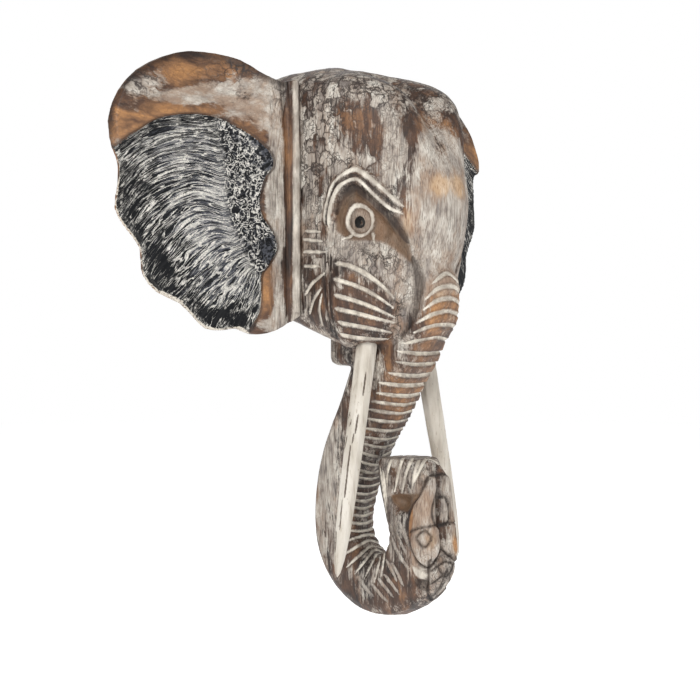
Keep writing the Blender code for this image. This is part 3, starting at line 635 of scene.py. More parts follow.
@dataclass(frozen=True)
class AgedWood:
    """Brown wood under worn whitewash, with crackle, cream-filled cuts and painted shade."""

    deep: Colour = (0.026, 0.015, 0.011)
    brown: Colour = (0.108, 0.054, 0.031)
    tan: Colour = (0.28, 0.142, 0.066)
    orange: Colour = (0.52, 0.26, 0.10)
    grey: Colour = (0.25, 0.22, 0.20)
    wash: Colour = (0.50, 0.445, 0.385)
    chalk: Colour = (0.72, 0.68, 0.61)
    cream: Colour = (0.80, 0.745, 0.65)
    dull_cream: Colour = (0.46, 0.41, 0.35)
    smooth: Colour = (0.142, 0.090, 0.054)
    stain: Colour = (0.30, 0.165, 0.085)
    glow: Colour = (0.66, 0.42, 0.21)
    crack: Colour = (0.030, 0.021, 0.018)
    halo: Colour = (0.42, 0.33, 0.28)
    streak: Colour = (0.22, 0.16, 0.13)
    # Dark brown towards which the painted shade multiplies the colour.
    painted_shade: Colour = (0.10, 0.068, 0.052)
    flakes: float = 84.0
    finer: float = 2.3

    def textures(self, graph: Graph, vector: object) -> dict[str, Socket]:
        """Return the noises that every layer of the wood shares."""
        layout = (
            ("grain", (430, 430, 30), (0.0, 0.0, 0.0), 3.0, 0.60, 0.0),
            ("fibre", (1100, 1100, 60), (2.0, 5.0, 1.0), 2.0, 0.60, 0.0),
            ("figure", (64, 64, 20), (0.0, 0.0, 0.0), 6.0, 0.62, 0.6),
            ("patch", (92, 92, 44), (3.1, 1.7, 0.4), 8.0, 0.70, 0.4),
            ("tint", (130, 130, 52), (7.0, 2.0, 5.0), 5.0, 0.60, 0.0),
            ("blotch", (50, 50, 24), (9.0, 4.0, 2.0), 6.0, 0.66, 0.0),
        )
        return {
            name: graph.noise(graph.stretch(vector, scale, shift), detail, rough, warp)
            for name, scale, shift, detail, rough, warp in layout
        }

    def flake_pattern(self, graph: Graph, vector: object, crackle: object) -> tuple:
        """Lay out the flakes of the wash.

        Args:
            graph: Graph of the node group.
            vector: Coordinates of the wood.
            crackle: How strongly the wash is broken up.

        Returns:
            Each flake's own chance, the wide cracks, the fine ones, the dark
            halo along the wide ones and the dots inside the fine ones.
        """
        bent = graph.stretch(vector, (1.0, 1.0, 0.72))
        swirl = graph.node("ShaderNodeTexNoise")
        graph.feed(swirl.inputs["Vector"], graph.stretch(vector, (110, 110, 110)))
        graph.feed(swirl.inputs["Scale"], 1.0)
        bent = graph.mix(0.015, bent, swirl.outputs["Color"], "ADD")
        parts = graph.node("ShaderNodeSeparateColor")
        graph.feed(parts.inputs[0], graph.cells(bent, self.flakes, "F1")["Color"])
        chance = graph.times(graph.minus(parts.outputs[0], 0.5), crackle)
        wide = graph.cells(bent, self.flakes, "DISTANCE_TO_EDGE")["Distance"]
        fine = graph.cells(bent, self.flakes * self.finer, "DISTANCE_TO_EDGE")["Distance"]
        dots = graph.cells(bent, self.flakes * self.finer, "F1")["Distance"]
        return (
            chance, graph.fall(wide, 0.0, 0.085), graph.fall(fine, 0.0, 0.10), graph.fall(wide, 0.0, 0.26),
            graph.fall(dots, 0.16, 0.42),
        )

    def coat(self, graph: Graph, given: bpy.types.NodeOutputs, noise: dict, chance: object) -> tuple:
        """Brush the wash on.

        Args:
            graph: Graph of the node group.
            given: Inputs of the group.
            noise: Noises of the wood, by name.
            chance: Each flake's own chance.

        Returns:
            Where the wash covers, how thickly it lies there, and its colour.
        """
        brush = graph.fit(noise["fibre"], 0.16, graph.fit(noise["grain"], 0.28, -0.22))
        brush = graph.fit(brush, given["Brushed"], 0.22)
        amount = graph.fit(noise["patch"], 0.56, brush)
        amount = graph.plus(amount, graph.fit(given["Wash"], 0.5, -0.25))
        covered = graph.rise(graph.fit(chance, 0.22, amount), 0.455, 0.565)
        thin = graph.times(graph.rise(noise["fibre"], 0.58, 0.36), graph.times(given["Brushed"], 0.30))
        laid = graph.times(covered, graph.minus(0.95, thin))
        white = graph.ramp(
            graph.fit(chance, 0.30, noise["tint"]), ((0.30, self.grey), (0.50, self.wash), (0.70, self.chalk))
        )
        stained = graph.plus(noise["blotch"], graph.fit(given["Warm"], 0.24, -0.05))
        tan = graph.mix(graph.rise(given["Warm"], 0.65, 1.15), self.stain, self.glow)
        white = graph.mix(graph.times(graph.rise(stained, 0.50, 0.70), 0.58), white, tan)
        return covered, laid, white

    def group(self) -> bpy.types.NodeTree:
        """Build the node group once and return it."""
        found = bpy.data.node_groups.get("aged_wood")
        if found:
            return found
        levels = {"Wash": 0.5, "Warm": 0.5, "Shade": 0.0, "Crackle": 0.0, "Smooth": 0.0, "Cut": 0.0}
        levels["Brushed"] = 1.0
        value = "NodeSocketFloat"
        inputs = [("Vector", "NodeSocketVector", None)]
        inputs += [(name, value, level) for name, level in levels.items()]
        outputs = (("Color", "NodeSocketColor"), ("Roughness", value), ("Height", value))
        tree, graph = new_group("aged_wood", inputs, outputs)
        given = graph.node("NodeGroupInput").outputs
        crackle = given["Crackle"]
        noise = self.textures(graph, given["Vector"])
        chance, wide, fine, halo, dot = self.flake_pattern(graph, given["Vector"], crackle)

        tone = graph.plus(noise["figure"], graph.fit(given["Warm"], 0.42, -0.21))
        tone = graph.fit(noise["grain"], 0.20, graph.minus(tone, 0.10))
        wood = graph.ramp(
            tone, ((0.30, self.deep), (0.47, self.brown), (0.62, self.tan), (0.80, self.orange))
        )
        spots = graph.times(dot, graph.times(crackle, graph.rise(noise["patch"], 0.42, 0.56)))
        wood = graph.mix(graph.times(spots, 0.5, clamp=True), wood, self.grey)
        covered, laid, white = self.coat(graph, given, noise, chance)
        colour = graph.mix(laid, wood, white)

        crack = graph.most(wide, graph.times(fine, graph.rise(noise["tint"], 0.38, 0.54)))
        crack = graph.times(crack, graph.times(crackle, graph.rise(noise["patch"], 0.34, 0.48)), clamp=True)
        halo = graph.times(graph.times(halo, crackle), graph.rise(noise["figure"], 0.36, 0.60), clamp=True)
        colour = graph.mix(graph.times(halo, 0.55), colour, graph.mix(1.0, colour, self.halo, "MULTIPLY"))
        colour = graph.mix(graph.times(crack, 0.9), colour, self.crack)

        rubbed = graph.mix(0.5, self.smooth, self.tan)
        rubbed = graph.mix(graph.rise(noise["figure"], 0.3, 0.7), self.smooth, rubbed)
        colour = graph.mix(graph.times(given["Smooth"], 0.88, clamp=True), colour, rubbed)
        streaks = graph.mix(graph.rise(noise["fibre"], 0.32, 0.52), self.streak, WHITE)
        colour = graph.mix(graph.times(given["Brushed"], 0.40), colour, streaks, "MULTIPLY")
        # Painted shade: where the Shade mask is high, the colour is multiplied towards a dark brown.
        dark = graph.times(given["Shade"], 0.85, clamp=True)
        colour = graph.mix(dark, colour, graph.mix(0.86, colour, self.painted_shade, "MULTIPLY"))

        chipped = graph.rise(graph.fit(noise["grain"], 0.5, graph.times(noise["tint"], 0.5)), 0.34, 0.46)
        filled = graph.times(given["Cut"], graph.fit(chipped, 0.28, 0.72), clamp=True)
        pale = graph.mix(graph.rise(noise["tint"], 0.35, 0.65), self.dull_cream, self.cream)
        colour = graph.mix(filled, colour, pale)

        height = graph.fit(covered, 0.35, graph.times(noise["grain"], 0.45))
        rough = graph.fit(noise["grain"], 0.12, graph.fit(covered, 0.16, 0.50))
        result = graph.node("NodeGroupOutput").inputs
        graph.feed(result["Color"], colour)
        graph.feed(result["Roughness"], rough)
        graph.feed(result["Height"], graph.minus(height, graph.times(crack, 0.8)))
        return tree

    def place(self, graph: Graph, vector: object, masks: dict[str, object]) -> bpy.types.Node:
        """Put the group in a material with its own masks."""
        node = graph.node("ShaderNodeGroup", node_tree=self.group())
        graph.feed(node.inputs["Vector"], vector)
        for name, value in masks.items():
            graph.feed(node.inputs[name], value)
        return node


WOOD = AgedWood()


def wood_masks(graph: Graph) -> dict[str, Socket]:
    """Return the piece's own masks for the wood, by input name."""
    names = ("Wash", "Warm", "Shade", "Crackle", "Smooth", "Cut")
    return {name: graph.attribute(name.lower()) for name in names}


@dataclass(frozen=True)
class Finish:
    """Base of every finish: a material with one Principled shader."""

    name: str
    bump: float = 0.35
    depth: float = 0.0006

    def start(self) -> tuple[bpy.types.Material, Graph, bpy.types.Node, Socket]:
        """Make the material and return it with its graph, shader and coordinates."""
        material = bpy.data.materials.new(self.name)
        material.use_nodes = True
        graph = Graph(material.node_tree)
        shader = material.node_tree.nodes["Principled BSDF"]
        where = graph.node("ShaderNodeTexCoord").outputs["Object"]
        return material, graph, shader, where

    def relief(self, graph: Graph, shader: bpy.types.Node, height: object) -> None:
        """Feed a height into the shader's normal."""
        bump = graph.node("ShaderNodeBump")
        graph.feed(bump.inputs["Strength"], self.bump)
        graph.feed(bump.inputs["Distance"], self.depth)
        graph.feed(bump.inputs["Height"], height)
        graph.feed(shader.inputs["Normal"], bump.outputs["Normal"])


@dataclass(frozen=True)
class HeadFinish(Finish):
    """Finish of the head and trunk, driven by the carving's own masks."""

    name: str = "whitewashed_head"
    # Near-black painted shade at the bottom of the drilled pupil.
    hole: Colour = (0.012, 0.010, 0.009)

    def make(self) -> bpy.types.Material:
        """Build the material."""
        material, graph, shader, where = self.start()
        node = WOOD.place(graph, where, wood_masks(graph))
        # Painted shade: the drilled pupil is coloured near-black.
        hole = graph.rise(graph.attribute("hole"), 0.10, 0.40)
        colour = graph.mix(hole, node.outputs["Color"], self.hole)
        graph.feed(shader.inputs["Base Color"], colour)
        graph.feed(shader.inputs["Roughness"], node.outputs["Roughness"])
        self.relief(graph, shader, node.outputs["Height"])
        return material


@dataclass(frozen=True)
class EarFinish(Finish):
    """Finish of the ears: warm rim, black field with dry-brushed ridges."""

    name: str = "black_field_ear"
    bump: float = 0.5
    black: Colour = (0.006, 0.0065, 0.008)
    # Bluish grey of a thin film of paint on the black, partly painted sheen.
    haze_and_sheen: Colour = (0.100, 0.105, 0.125)
    thin_paint: Colour = (0.42, 0.41, 0.385)
    paint: Colour = (0.76, 0.73, 0.67)
    # Pale colour on faces along the ear's wavy edge that turn partly away from the viewpoint.
    pale_edge: Colour = (0.66, 0.61, 0.53)
    level_grain: float = math.radians(78)
    level_brushed: float = 0.3
    hairs: tuple[tuple[float, float], ...] = ((48.0, 3.0), (80.0, 7.0))

    def rim(self, graph: Graph, where: object) -> dict[str, Socket]:
        """Return the wood round the field: grain level on the board, upright by the joint."""
        masks = wood_masks(graph)
        upright = WOOD.place(graph, where, masks)
        turned = graph.node("ShaderNodeMapping")
        graph.feed(turned.inputs["Vector"], where)
        graph.feed(turned.inputs["Rotation"], (0.0, self.level_grain, 0.0))
        level = WOOD.place(graph, turned.outputs[0], masks)
        graph.feed(level.inputs["Brushed"], self.level_brushed)
        joint = graph.rise(graph.attribute("joint"), 0.35, 0.65)
        return {
            name: graph.mix(joint, level.outputs[name], upright.outputs[name])
            for name in ("Color", "Roughness", "Height")
        }

    def strands(self, graph: Graph, masks: tuple) -> tuple:
        """Return the dry-brushed strands along the ridges and the thin film between them, partly thin paint
        and partly painted bluish sheen.
        """
        ridge, dry, worn = masks
        flow = graph.node("ShaderNodeUVMap", uv_map="flow").outputs["UV"]
        strand = graph.noise(graph.stretch(flow, (5.0, 110.0, 1.0)), detail=4.0, rough=0.6, warp=0.25)
        fine = graph.noise(graph.stretch(flow, (11.0, 360.0, 1.0), (4.0, 9.0, 0.0)), detail=3.0, rough=0.6)
        high = graph.fit(strand, 0.50, graph.times(fine, 0.50))
        high = graph.plus(high, graph.fit(ridge, 0.22, -0.125))
        high = graph.plus(high, graph.fit(worn, 0.30, -0.15))
        high = graph.fit(dry, 0.10, high)
        white = graph.times(graph.rise(high, 0.545, 0.62), 0.72)
        for scale, shift in self.hairs:
            place = graph.stretch(flow, (3.2, scale, 1.0), (2.0, shift, 0.0))
            thread = graph.noise(place, detail=1.5, rough=0.5, warp=0.2)
            hair = graph.fall(graph.math("ABSOLUTE", graph.minus(thread, 0.5)), 0.008, 0.030)
            shown = graph.fit(fine, 0.45, graph.fit(worn, 0.65, 0.155))
            shown = graph.rise(graph.fit(dry, 0.12, shown), 0.57, 0.69)
            white = graph.most(white, graph.times(hair, shown))
        return white, graph.rise(graph.fit(dry, 0.08, high), 0.44, 0.64)

    def knots(self, graph: Graph, where: object, masks: tuple, speck: object) -> tuple:
        """Return the rubbed curls along the field's inner edge and the thin film on them, partly thin paint
        and partly painted sheen.
        """
        ridge, dry, worn = masks
        swirl = graph.noise(graph.stretch(where, (118, 118, 118)), detail=2.0, rough=0.5, warp=0.9)
        bands = graph.math("PINGPONG", graph.times(swirl, 10.0), 1.0)
        lines = graph.times(graph.rise(bands, 0.58, 0.84), graph.rise(speck, 0.34, 0.48))
        worm = graph.fit(graph.minus(worn, 0.5), 0.8, ridge)
        worm = graph.fit(graph.minus(speck, 0.5), 0.5, worm)
        lines = graph.most(lines, graph.times(graph.rise(worm, 0.62, 0.88), 0.9))
        shown = graph.rise(graph.fit(dry, 0.18, worn), 0.36, 0.52)
        return graph.times(lines, shown), graph.times(graph.rise(bands, 0.2, 0.9), 0.7)

    def make(self) -> bpy.types.Material:
        """Build the material."""
        material, graph, shader, where = self.start()
        rim = self.rim(graph, where)
        worn = graph.noise(graph.stretch(where, (60, 60, 60)), detail=5.0, rough=0.6)
        speck = graph.noise(graph.stretch(where, (800, 800, 800)), detail=2.0)
        masks = (graph.attribute("ridge"), graph.attribute("dry"), worn)
        curl = graph.attribute("curl")
        white, haze_and_sheen = self.strands(graph, masks)
        knots, knot_haze_and_sheen = self.knots(graph, where, masks, speck)
        white = graph.mix(curl, white, knots)
        haze_and_sheen = graph.mix(curl, haze_and_sheen, knot_haze_and_sheen)

        # The black field is mixed towards a bluish grey: thin paint and painted sheen.
        black = graph.mix(haze_and_sheen, self.black, self.haze_and_sheen)
        paint = graph.mix(graph.rise(speck, 0.35, 0.6), self.thin_paint, self.paint)
        field = graph.rise(graph.attribute("field"), 0.35, 0.65)
        colour = graph.mix(field, rim["Color"], graph.mix(white, black, paint))
        # Pale colour along the ear's wavy edge, on faces turned partly away from the viewpoint.
        edge = graph.rise(graph.attribute("edge"), 0.45, 0.7)
        colour = graph.mix(graph.times(edge, graph.rise(speck, 0.30, 0.55)), colour, self.pale_edge)
        graph.feed(shader.inputs["Base Color"], colour)
        graph.feed(shader.inputs["Specular IOR Level"], graph.fit(field, -0.3, 0.5))
        rough = graph.mix(field, rim["Roughness"], graph.fit(haze_and_sheen, 0.25, 0.36))
        graph.feed(shader.inputs["Roughness"], rough)
        self.relief(graph, shader, graph.mix(field, rim["Height"], graph.plus(haze_and_sheen, white)))
        return material


@dataclass(frozen=True)
class TuskFinish(Finish):
    """Cream paint with fine dark splits along the grain."""

    name: str = "cream_tusk"
    bump: float = 0.3
    shadow: Colour = (0.35, 0.30, 0.245)
    cream: Colour = (0.58, 0.53, 0.455)
    light: Colour = (0.72, 0.675, 0.605)
    line: Colour = (0.30, 0.22, 0.15)
    dot: Colour = (0.20, 0.14, 0.10)
    split: Colour = (0.07, 0.042, 0.025)

    def make(self) -> bpy.types.Material:
        """Build the material."""
        material, graph, shader, where = self.start()
        grain = graph.noise(graph.stretch(where, (520, 520, 22)), detail=4.0, rough=0.6)
        tone = graph.noise(graph.stretch(where, (90, 90, 18)), detail=5.0)
        speck = graph.noise(graph.stretch(where, (700, 700, 320)), detail=2.0)
        split = graph.attribute("split")
        colour = graph.ramp(tone, ((0.28, self.shadow), (0.46, self.cream), (0.66, self.light)))
        colour = graph.mix(graph.times(graph.fall(grain, 0.30, 0.40), 0.55), colour, self.line)
        colour = graph.mix(graph.times(graph.fall(speck, 0.26, 0.33), 0.6), colour, self.dot)
        colour = graph.mix(graph.times(split, 0.92, clamp=True), colour, self.split)
        graph.feed(shader.inputs["Base Color"], colour)
        graph.feed(shader.inputs["Roughness"], graph.fit(grain, 0.2, 0.45))
        self.relief(graph, shader, graph.minus(grain, split))
        return material


# ------------------------------------------------------------------- pieces

RING_TIPS: Places = (
    (396.9, 351.3), (395.1, 361.8), (387.7, 372.9), (378.4, 382.7), (376.2, 392.9), (371, 401.2),
    (368.3, 409.5), (367, 418.8), (363.3, 428), (360.3, 436.4), (358.5, 442.5), (356.2, 450.2),
    (354.9, 458.9), (352.9, 467.2), (351.1, 475.2), (349.8, 483.5), (348.8, 491.3), (347.5, 498.3),
    (346.4, 505.7), (345.1, 513.5), (343.7, 521.4), (342.6, 529.8),
)
RING_ENDS: Places = (
    (439.5, 353.1), (434.8, 364.2), (430.2, 376.2), (423.8, 385.5), (419.1, 395.7), (413.6, 404.9),
    (410.8, 414.2), (406.2, 422.5), (401.6, 431.4), (396.6, 439.5), (392.3, 448.4), (383.1, 457.6),
    (378, 465.9), (375, 473.6), (374, 479.3), (373.8, 487), (373.8, 494.7), (373.8, 501.6),
    (373.8, 508.6), (373.4, 515.8), (373.8, 523.3), (374.7, 529.8),
)
FAN_TIPS: Places = (
    (341.4, 542.7), (340.5, 556.6), (346.1, 567.7), (354.4, 574.2), (363.6, 579.7), (373.8, 583.4),
    (381.2, 576),
)
FAN_ENDS: Places = (
    (375.7, 531.7), (377.5, 534.5), (379.4, 537.2), (381.2, 540), (383.1, 540.9), (384.4, 541.9),
    (385.8, 543.7),
)
CHEVRONS: tuple[Places, ...] = (
    ((431.6, 284.4), (443.1, 274.8), (448.8, 272.9)),
    ((424.9, 299.7), (437.3, 289.2), (448.8, 285.7)),
    ((423, 310.2), (435.4, 301.6), (446.9, 298.2)),
    ((415.3, 323.6), (431.6, 315), (445, 311.2)),
    ((412.5, 333.2), (431.6, 326.5), (446.9, 324.6)),
    ((402.9, 343.7), (423.9, 339.9), (443.1, 336.6)),
)
BROWS: tuple[Places, ...] = (
    ((325.4, 225.1), (329.2, 201.2), (335, 183.9), (345.5, 174.4), (355.1, 169.6), (362.7, 172.5),
     (374.2, 182), (389.5, 195.4), (403.9, 206.9)),
    ((329.2, 227), (333.1, 203.1), (339.8, 187.8), (349.3, 181.1), (357.9, 180.1), (366.5, 186.8),
     (376.1, 196.4), (389.5, 207.9), (402.9, 213.6)),
)
CHEEK_CUTS: tuple[Places, ...] = (
    ((335.9, 263.4), (351.2, 266.2), (370.4, 276.8), (385.7, 289.2), (394.3, 298.8)),
    ((334, 278.7), (353.1, 284.4), (372.3, 293), (393.3, 307.4)),
    ((335, 294.9), (353.1, 299.7), (372.3, 306.4), (394.3, 316.9)),
    ((335.9, 308.3), (355.1, 312.2), (374.2, 316.9), (395.2, 321.7)),
    ((338.8, 321.7), (357, 324.6), (374.2, 327.5), (391.4, 330.9)),
    ((340.7, 333.2), (357, 336.1), (374.2, 337), (388.5, 337)),
)
SIDE_CUTS: tuple[Places, ...] = (
    ((303, 251.9), (325.4, 251.9)),
    ((303, 266.2), (319.7, 266.2)),
    ((304, 294.9), (311, 283.4), (324.4, 272)),
    ((307.8, 315), (312, 300.7), (320.6, 287.3)),
    ((321.6, 327.5), (317.7, 310.2), (320.6, 293)),
    ((305.2, 230.8), (320.6, 231.8)),
    ((303.3, 239.4), (322.5, 241.4)),
    ((353.1, 232.7), (349.3, 236.6), (341.7, 239.4)),
    ((371.9, 232.7), (374.2, 243.3)),
)
SOCKET: Places = (
    (333.1, 229.9), (337.8, 203.1), (344.5, 190.6), (353.1, 185.9), (360.8, 189.7), (370.4, 200.2),
    (383.8, 212.6), (397.2, 223.2), (408.6, 239.4), (414.4, 256.7), (415.3, 267.2), (408.6, 263.4),
    (397.2, 253.8), (385.7, 246.1), (374.2, 242.3), (358.9, 242.3), (345.5, 240.4),
)
BARREL: Places = (
    (335.9, 254.8), (333.1, 279.6), (334, 308.3), (336.8, 325.5), (341.6, 346.7), (370.4, 352.5),
    (393.3, 342.9), (399.2, 321.7), (397.2, 298.8), (387.7, 285.4), (370.4, 272), (351.2, 258.6),
)
SIDE_HOLLOW: Places = (
    (300.4, 246.9), (325.4, 248.8), (333.1, 260.5), (332.1, 289.2), (334, 317.9), (339.8, 345.8),
    (318.7, 343.2), (300.4, 326),
)
CREASE: Places = ((412.5, 256.7), (418.6, 275.8), (418.2, 296.8), (412.4, 317.9), (400.8, 339))
UNDER_BROW: Places = (
    (336, 215), (341.7, 197.5), (354.1, 188.2), (366.5, 195.5), (379.9, 208), (394.3, 222.2),
    (408.7, 243.4),
)
FOLD_CUTS: tuple[Places, ...] = (
    ((391.4, 459.5), (387.7, 470.6), (386.8, 483.5)),
    ((403.4, 457.6), (398.8, 470.6), (394.2, 492.8)),
    ((412.7, 457.6), (406.2, 472.4), (401.6, 493.7)),
    ((419.1, 459.5), (414.5, 474.3), (411.4, 490.9)),
    ((426.5, 457.6), (420.1, 468.7), (413.6, 483.5)),
    ((379.4, 465.2), (381.2, 478), (384, 496.5), (386.2, 515)),
    ((382.5, 470.6), (384.9, 489.1), (387.3, 507.6)),
)
FOLD_HOLLOW: Places = ((388.6, 493.7), (421, 492.8), (414.5, 505.7), (405.3, 513.1), (393.2, 503.9))
LOBE: Places = (
    (428.4, 476.1), (419.1, 496.5), (410.8, 509.4), (408, 526.1), (409.9, 542.7), (415.4, 557.5),
    (422.8, 565.8), (430.2, 566.8), (437.6, 555.7), (440.4, 542.7), (439.5, 529.8), (433.6, 522.4),
    (432.1, 507.6), (436.7, 489.1), (437.6, 476.1),
)
LEAF: Places = (
    (435.8, 483.5), (433.6, 496.5), (434.3, 507.6), (436.7, 519.6), (438.2, 507.6), (438, 492.8),
)
ALMOND: Places = ((424.7, 529.8), (418.2, 538.1), (424.7, 546.8), (430.2, 538.1))
LOBE_LINE: Places = ((411, 533), (419.1, 528.8), (430.2, 526.1), (439.5, 524.2))
TIP_BLOCK: Places = (
    (430.2, 557.8), (428.4, 572.3), (429.3, 598.3), (441.5, 594.5), (454.4, 583.4), (460, 568.6),
    (458.1, 555.7), (443.2, 552.1),
)
FAR_LOBE: Places = (
    (439.5, 462), (439, 490), (440.5, 515), (444, 532), (451, 548), (457, 552),
    (460.5, 546), (458, 532), (452, 510), (448, 485), (444, 465),
)
WEDGE: Places = ((410.8, 563.9), (428.4, 574.2), (421, 579.8), (413.6, 573.3))
GAP: Places = ((411.7, 576), (420, 578.5), (429.4, 580.4), (429.4, 592.6), (415.4, 588.1))
TIP_RELIEF: tuple[tuple[Places, float, float], ...] = (
    (LOBE, 3.5, 2.8), (FAR_LOBE, 3.0, 2.2), (LEAF, 1.5, 1.2), (TIP_BLOCK, 3.0, -0.6), (WEDGE, 2.0, 0.8),
    (GAP, 3.0, -3.0),
)
BLOCK_CRACKS: tuple[Places, ...] = (
    ((430, 572), (438, 566), (448, 560), (456, 562)),
    ((431, 585), (440, 578), (447, 571), (448, 560)),
    ((438, 566), (443, 575), (452, 580)),
    ((434, 596), (440, 588), (447, 571)),
)
STROKES: tuple[Places, ...] = (
    ((393, 524), (397.5, 535), (403.5, 547)), ((398, 521), (404, 532), (409, 545)),
    ((390.5, 534), (395, 547), (401, 558)), ((395, 529), (400, 541), (406.5, 554)),
    ((398, 552), (403, 561), (409.5, 569)), ((386, 560), (392, 570), (397, 582)),
    ((391, 563), (398, 574), (404, 587)), ((378, 578), (386, 588), (394, 598)),
    ((372, 584), (380, 594), (388, 602)), ((384, 574), (391, 583), (399, 594)),
    ((357, 576), (365, 587), (374, 597)), ((401, 528), (406, 538), (411, 551)),
)
FACE_CREASES: tuple[Places, ...] = (
    ((331, 256), (329.5, 280), (331, 310), (337, 340)),
    ((324, 250), (323, 280), (326, 312), (331, 335)),
)
HEAD_DABS: Dabs = {
    "wash": (
        (350, 82, 40, 9, 0.35), (320, 105, 18, 22, 0.34), (395, 152, 10, 20, 0.75), (388, 120, 10, 18, 0.3),
        (318, 160, 18, 16, 0.42), (345, 160, 16, 7, 0.45), (362, 132, 24, 20, -0.22),
        (343, 118, 14, 16, -0.16), (375, 178, 18, 9, 0.1), (404, 190, 8, 26, -0.22), (422, 98, 18, 12, 0.3),
        (412, 128, 8, 22, -0.35), (426, 160, 8, 26, 0.62), (440, 135, 8, 30, -0.1), (440, 230, 26, 60, 0.9),
        (415, 270, 9, 40, 0.6), (455, 150, 8, 30, 0.15), (400, 308, 7, 40, 0.6), (350, 248, 22, 9, 0.7),
        (385, 262, 20, 14, 0.75), (402, 282, 10, 16, 0.45), (310, 210, 9, 34, 0.36),
        (360, 305, 34, 30, -0.2), (318, 290, 12, 36, -0.12), (440, 308, 18, 30, -0.28),
        (335, 352, 16, 12, 0.2), (328, 480, 12, 90, 0.18), (400, 400, 40, 60, -0.16),
        (358, 495, 14, 40, -0.1), (392, 560, 14, 34, -0.14), (395, 470, 40, 14, 0.1),
        (426, 505, 10, 26, 0.55), (422, 546, 8, 16, 0.42), (447, 505, 8, 36, 0.3), (440, 572, 14, 20, 1.1),
        (380, 594, 40, 22, -0.26), (345, 560, 14, 30, -0.12), (441, 188, 13, 13, -0.22),
        (411, 520, 4, 20, -0.4), (392, 540, 9, 40, 0.12), (372, 588, 22, 16, 0.2), (418, 560, 7, 12, 0.2),
        (338, 92, 26, 10, 0.2),
    ),
    "crackle": (
        (328, 480, 16, 100, -0.35), (385, 575, 40, 40, -0.4), (430, 520, 12, 40, -0.2),
        (430, 545, 12, 26, 0.25), (440, 225, 26, 62, -0.85), (385, 230, 30, 14, -0.5),
        (425, 170, 12, 40, -0.5), (372, 256, 32, 18, 0.6), (320, 112, 22, 40, 0.65),
        (360, 80, 50, 11, 0.55), (314, 178, 15, 30, 0.7), (392, 92, 24, 18, 0.45), (345, 160, 28, 9, 0.6),
        (398, 315, 8, 30, 0.6), (335, 354, 16, 12, 0.4), (318, 230, 12, 20, 0.4),
    ),
    "warm": (
        (441, 186, 15, 16, 1.05), (352, 122, 30, 18, 0.42), (408, 218, 8, 36, 0.66), (424, 122, 8, 16, 0.5),
        (352, 176, 22, 8, 0.2), (440, 308, 18, 34, 0.75), (404, 392, 26, 40, 0.55), (396, 305, 5, 30, 0.36),
        (414, 515, 5, 20, 0.6), (430, 540, 6, 16, 0.55), (366, 300, 30, 26, 0.14), (333, 480, 12, 90, -0.1),
        (425, 500, 4, 14, 0.3), (428, 545, 12, 24, 0.2), (336, 205, 6, 20, 0.3), (402, 262, 6, 40, 0.35),
    ),
    "shade": (
        (366, 346, 18, 4, 0.6), (402, 120, 4, 30, 0.45), (358, 495, 12, 50, 0.35), (325, 480, 8, 90, 0.28),
        (405, 474, 26, 14, 0.22), (392, 545, 10, 40, 0.25), (352, 187, 7, 5, 0.5), (366, 195, 8, 5, 0.6),
        (380, 208, 8, 6, 0.6), (393, 221, 7, 7, 0.6), (403, 236, 5, 8, 0.5), (350, 362, 18, 8, 0.25),
        (344, 190, 5, 10, 0.2), (307, 240, 3, 80, 0.4), (396, 362, 8, 20, 0.3), (395, 520, 8, 12, 0.4),
        (408, 245, 4, 14, 0.4), (455, 590, 6, 14, 0.55), (390, 600, 30, 8, 0.25),
    ),
    "smooth": (
        (400, 500, 10, 8, 0.3),
    ),
}


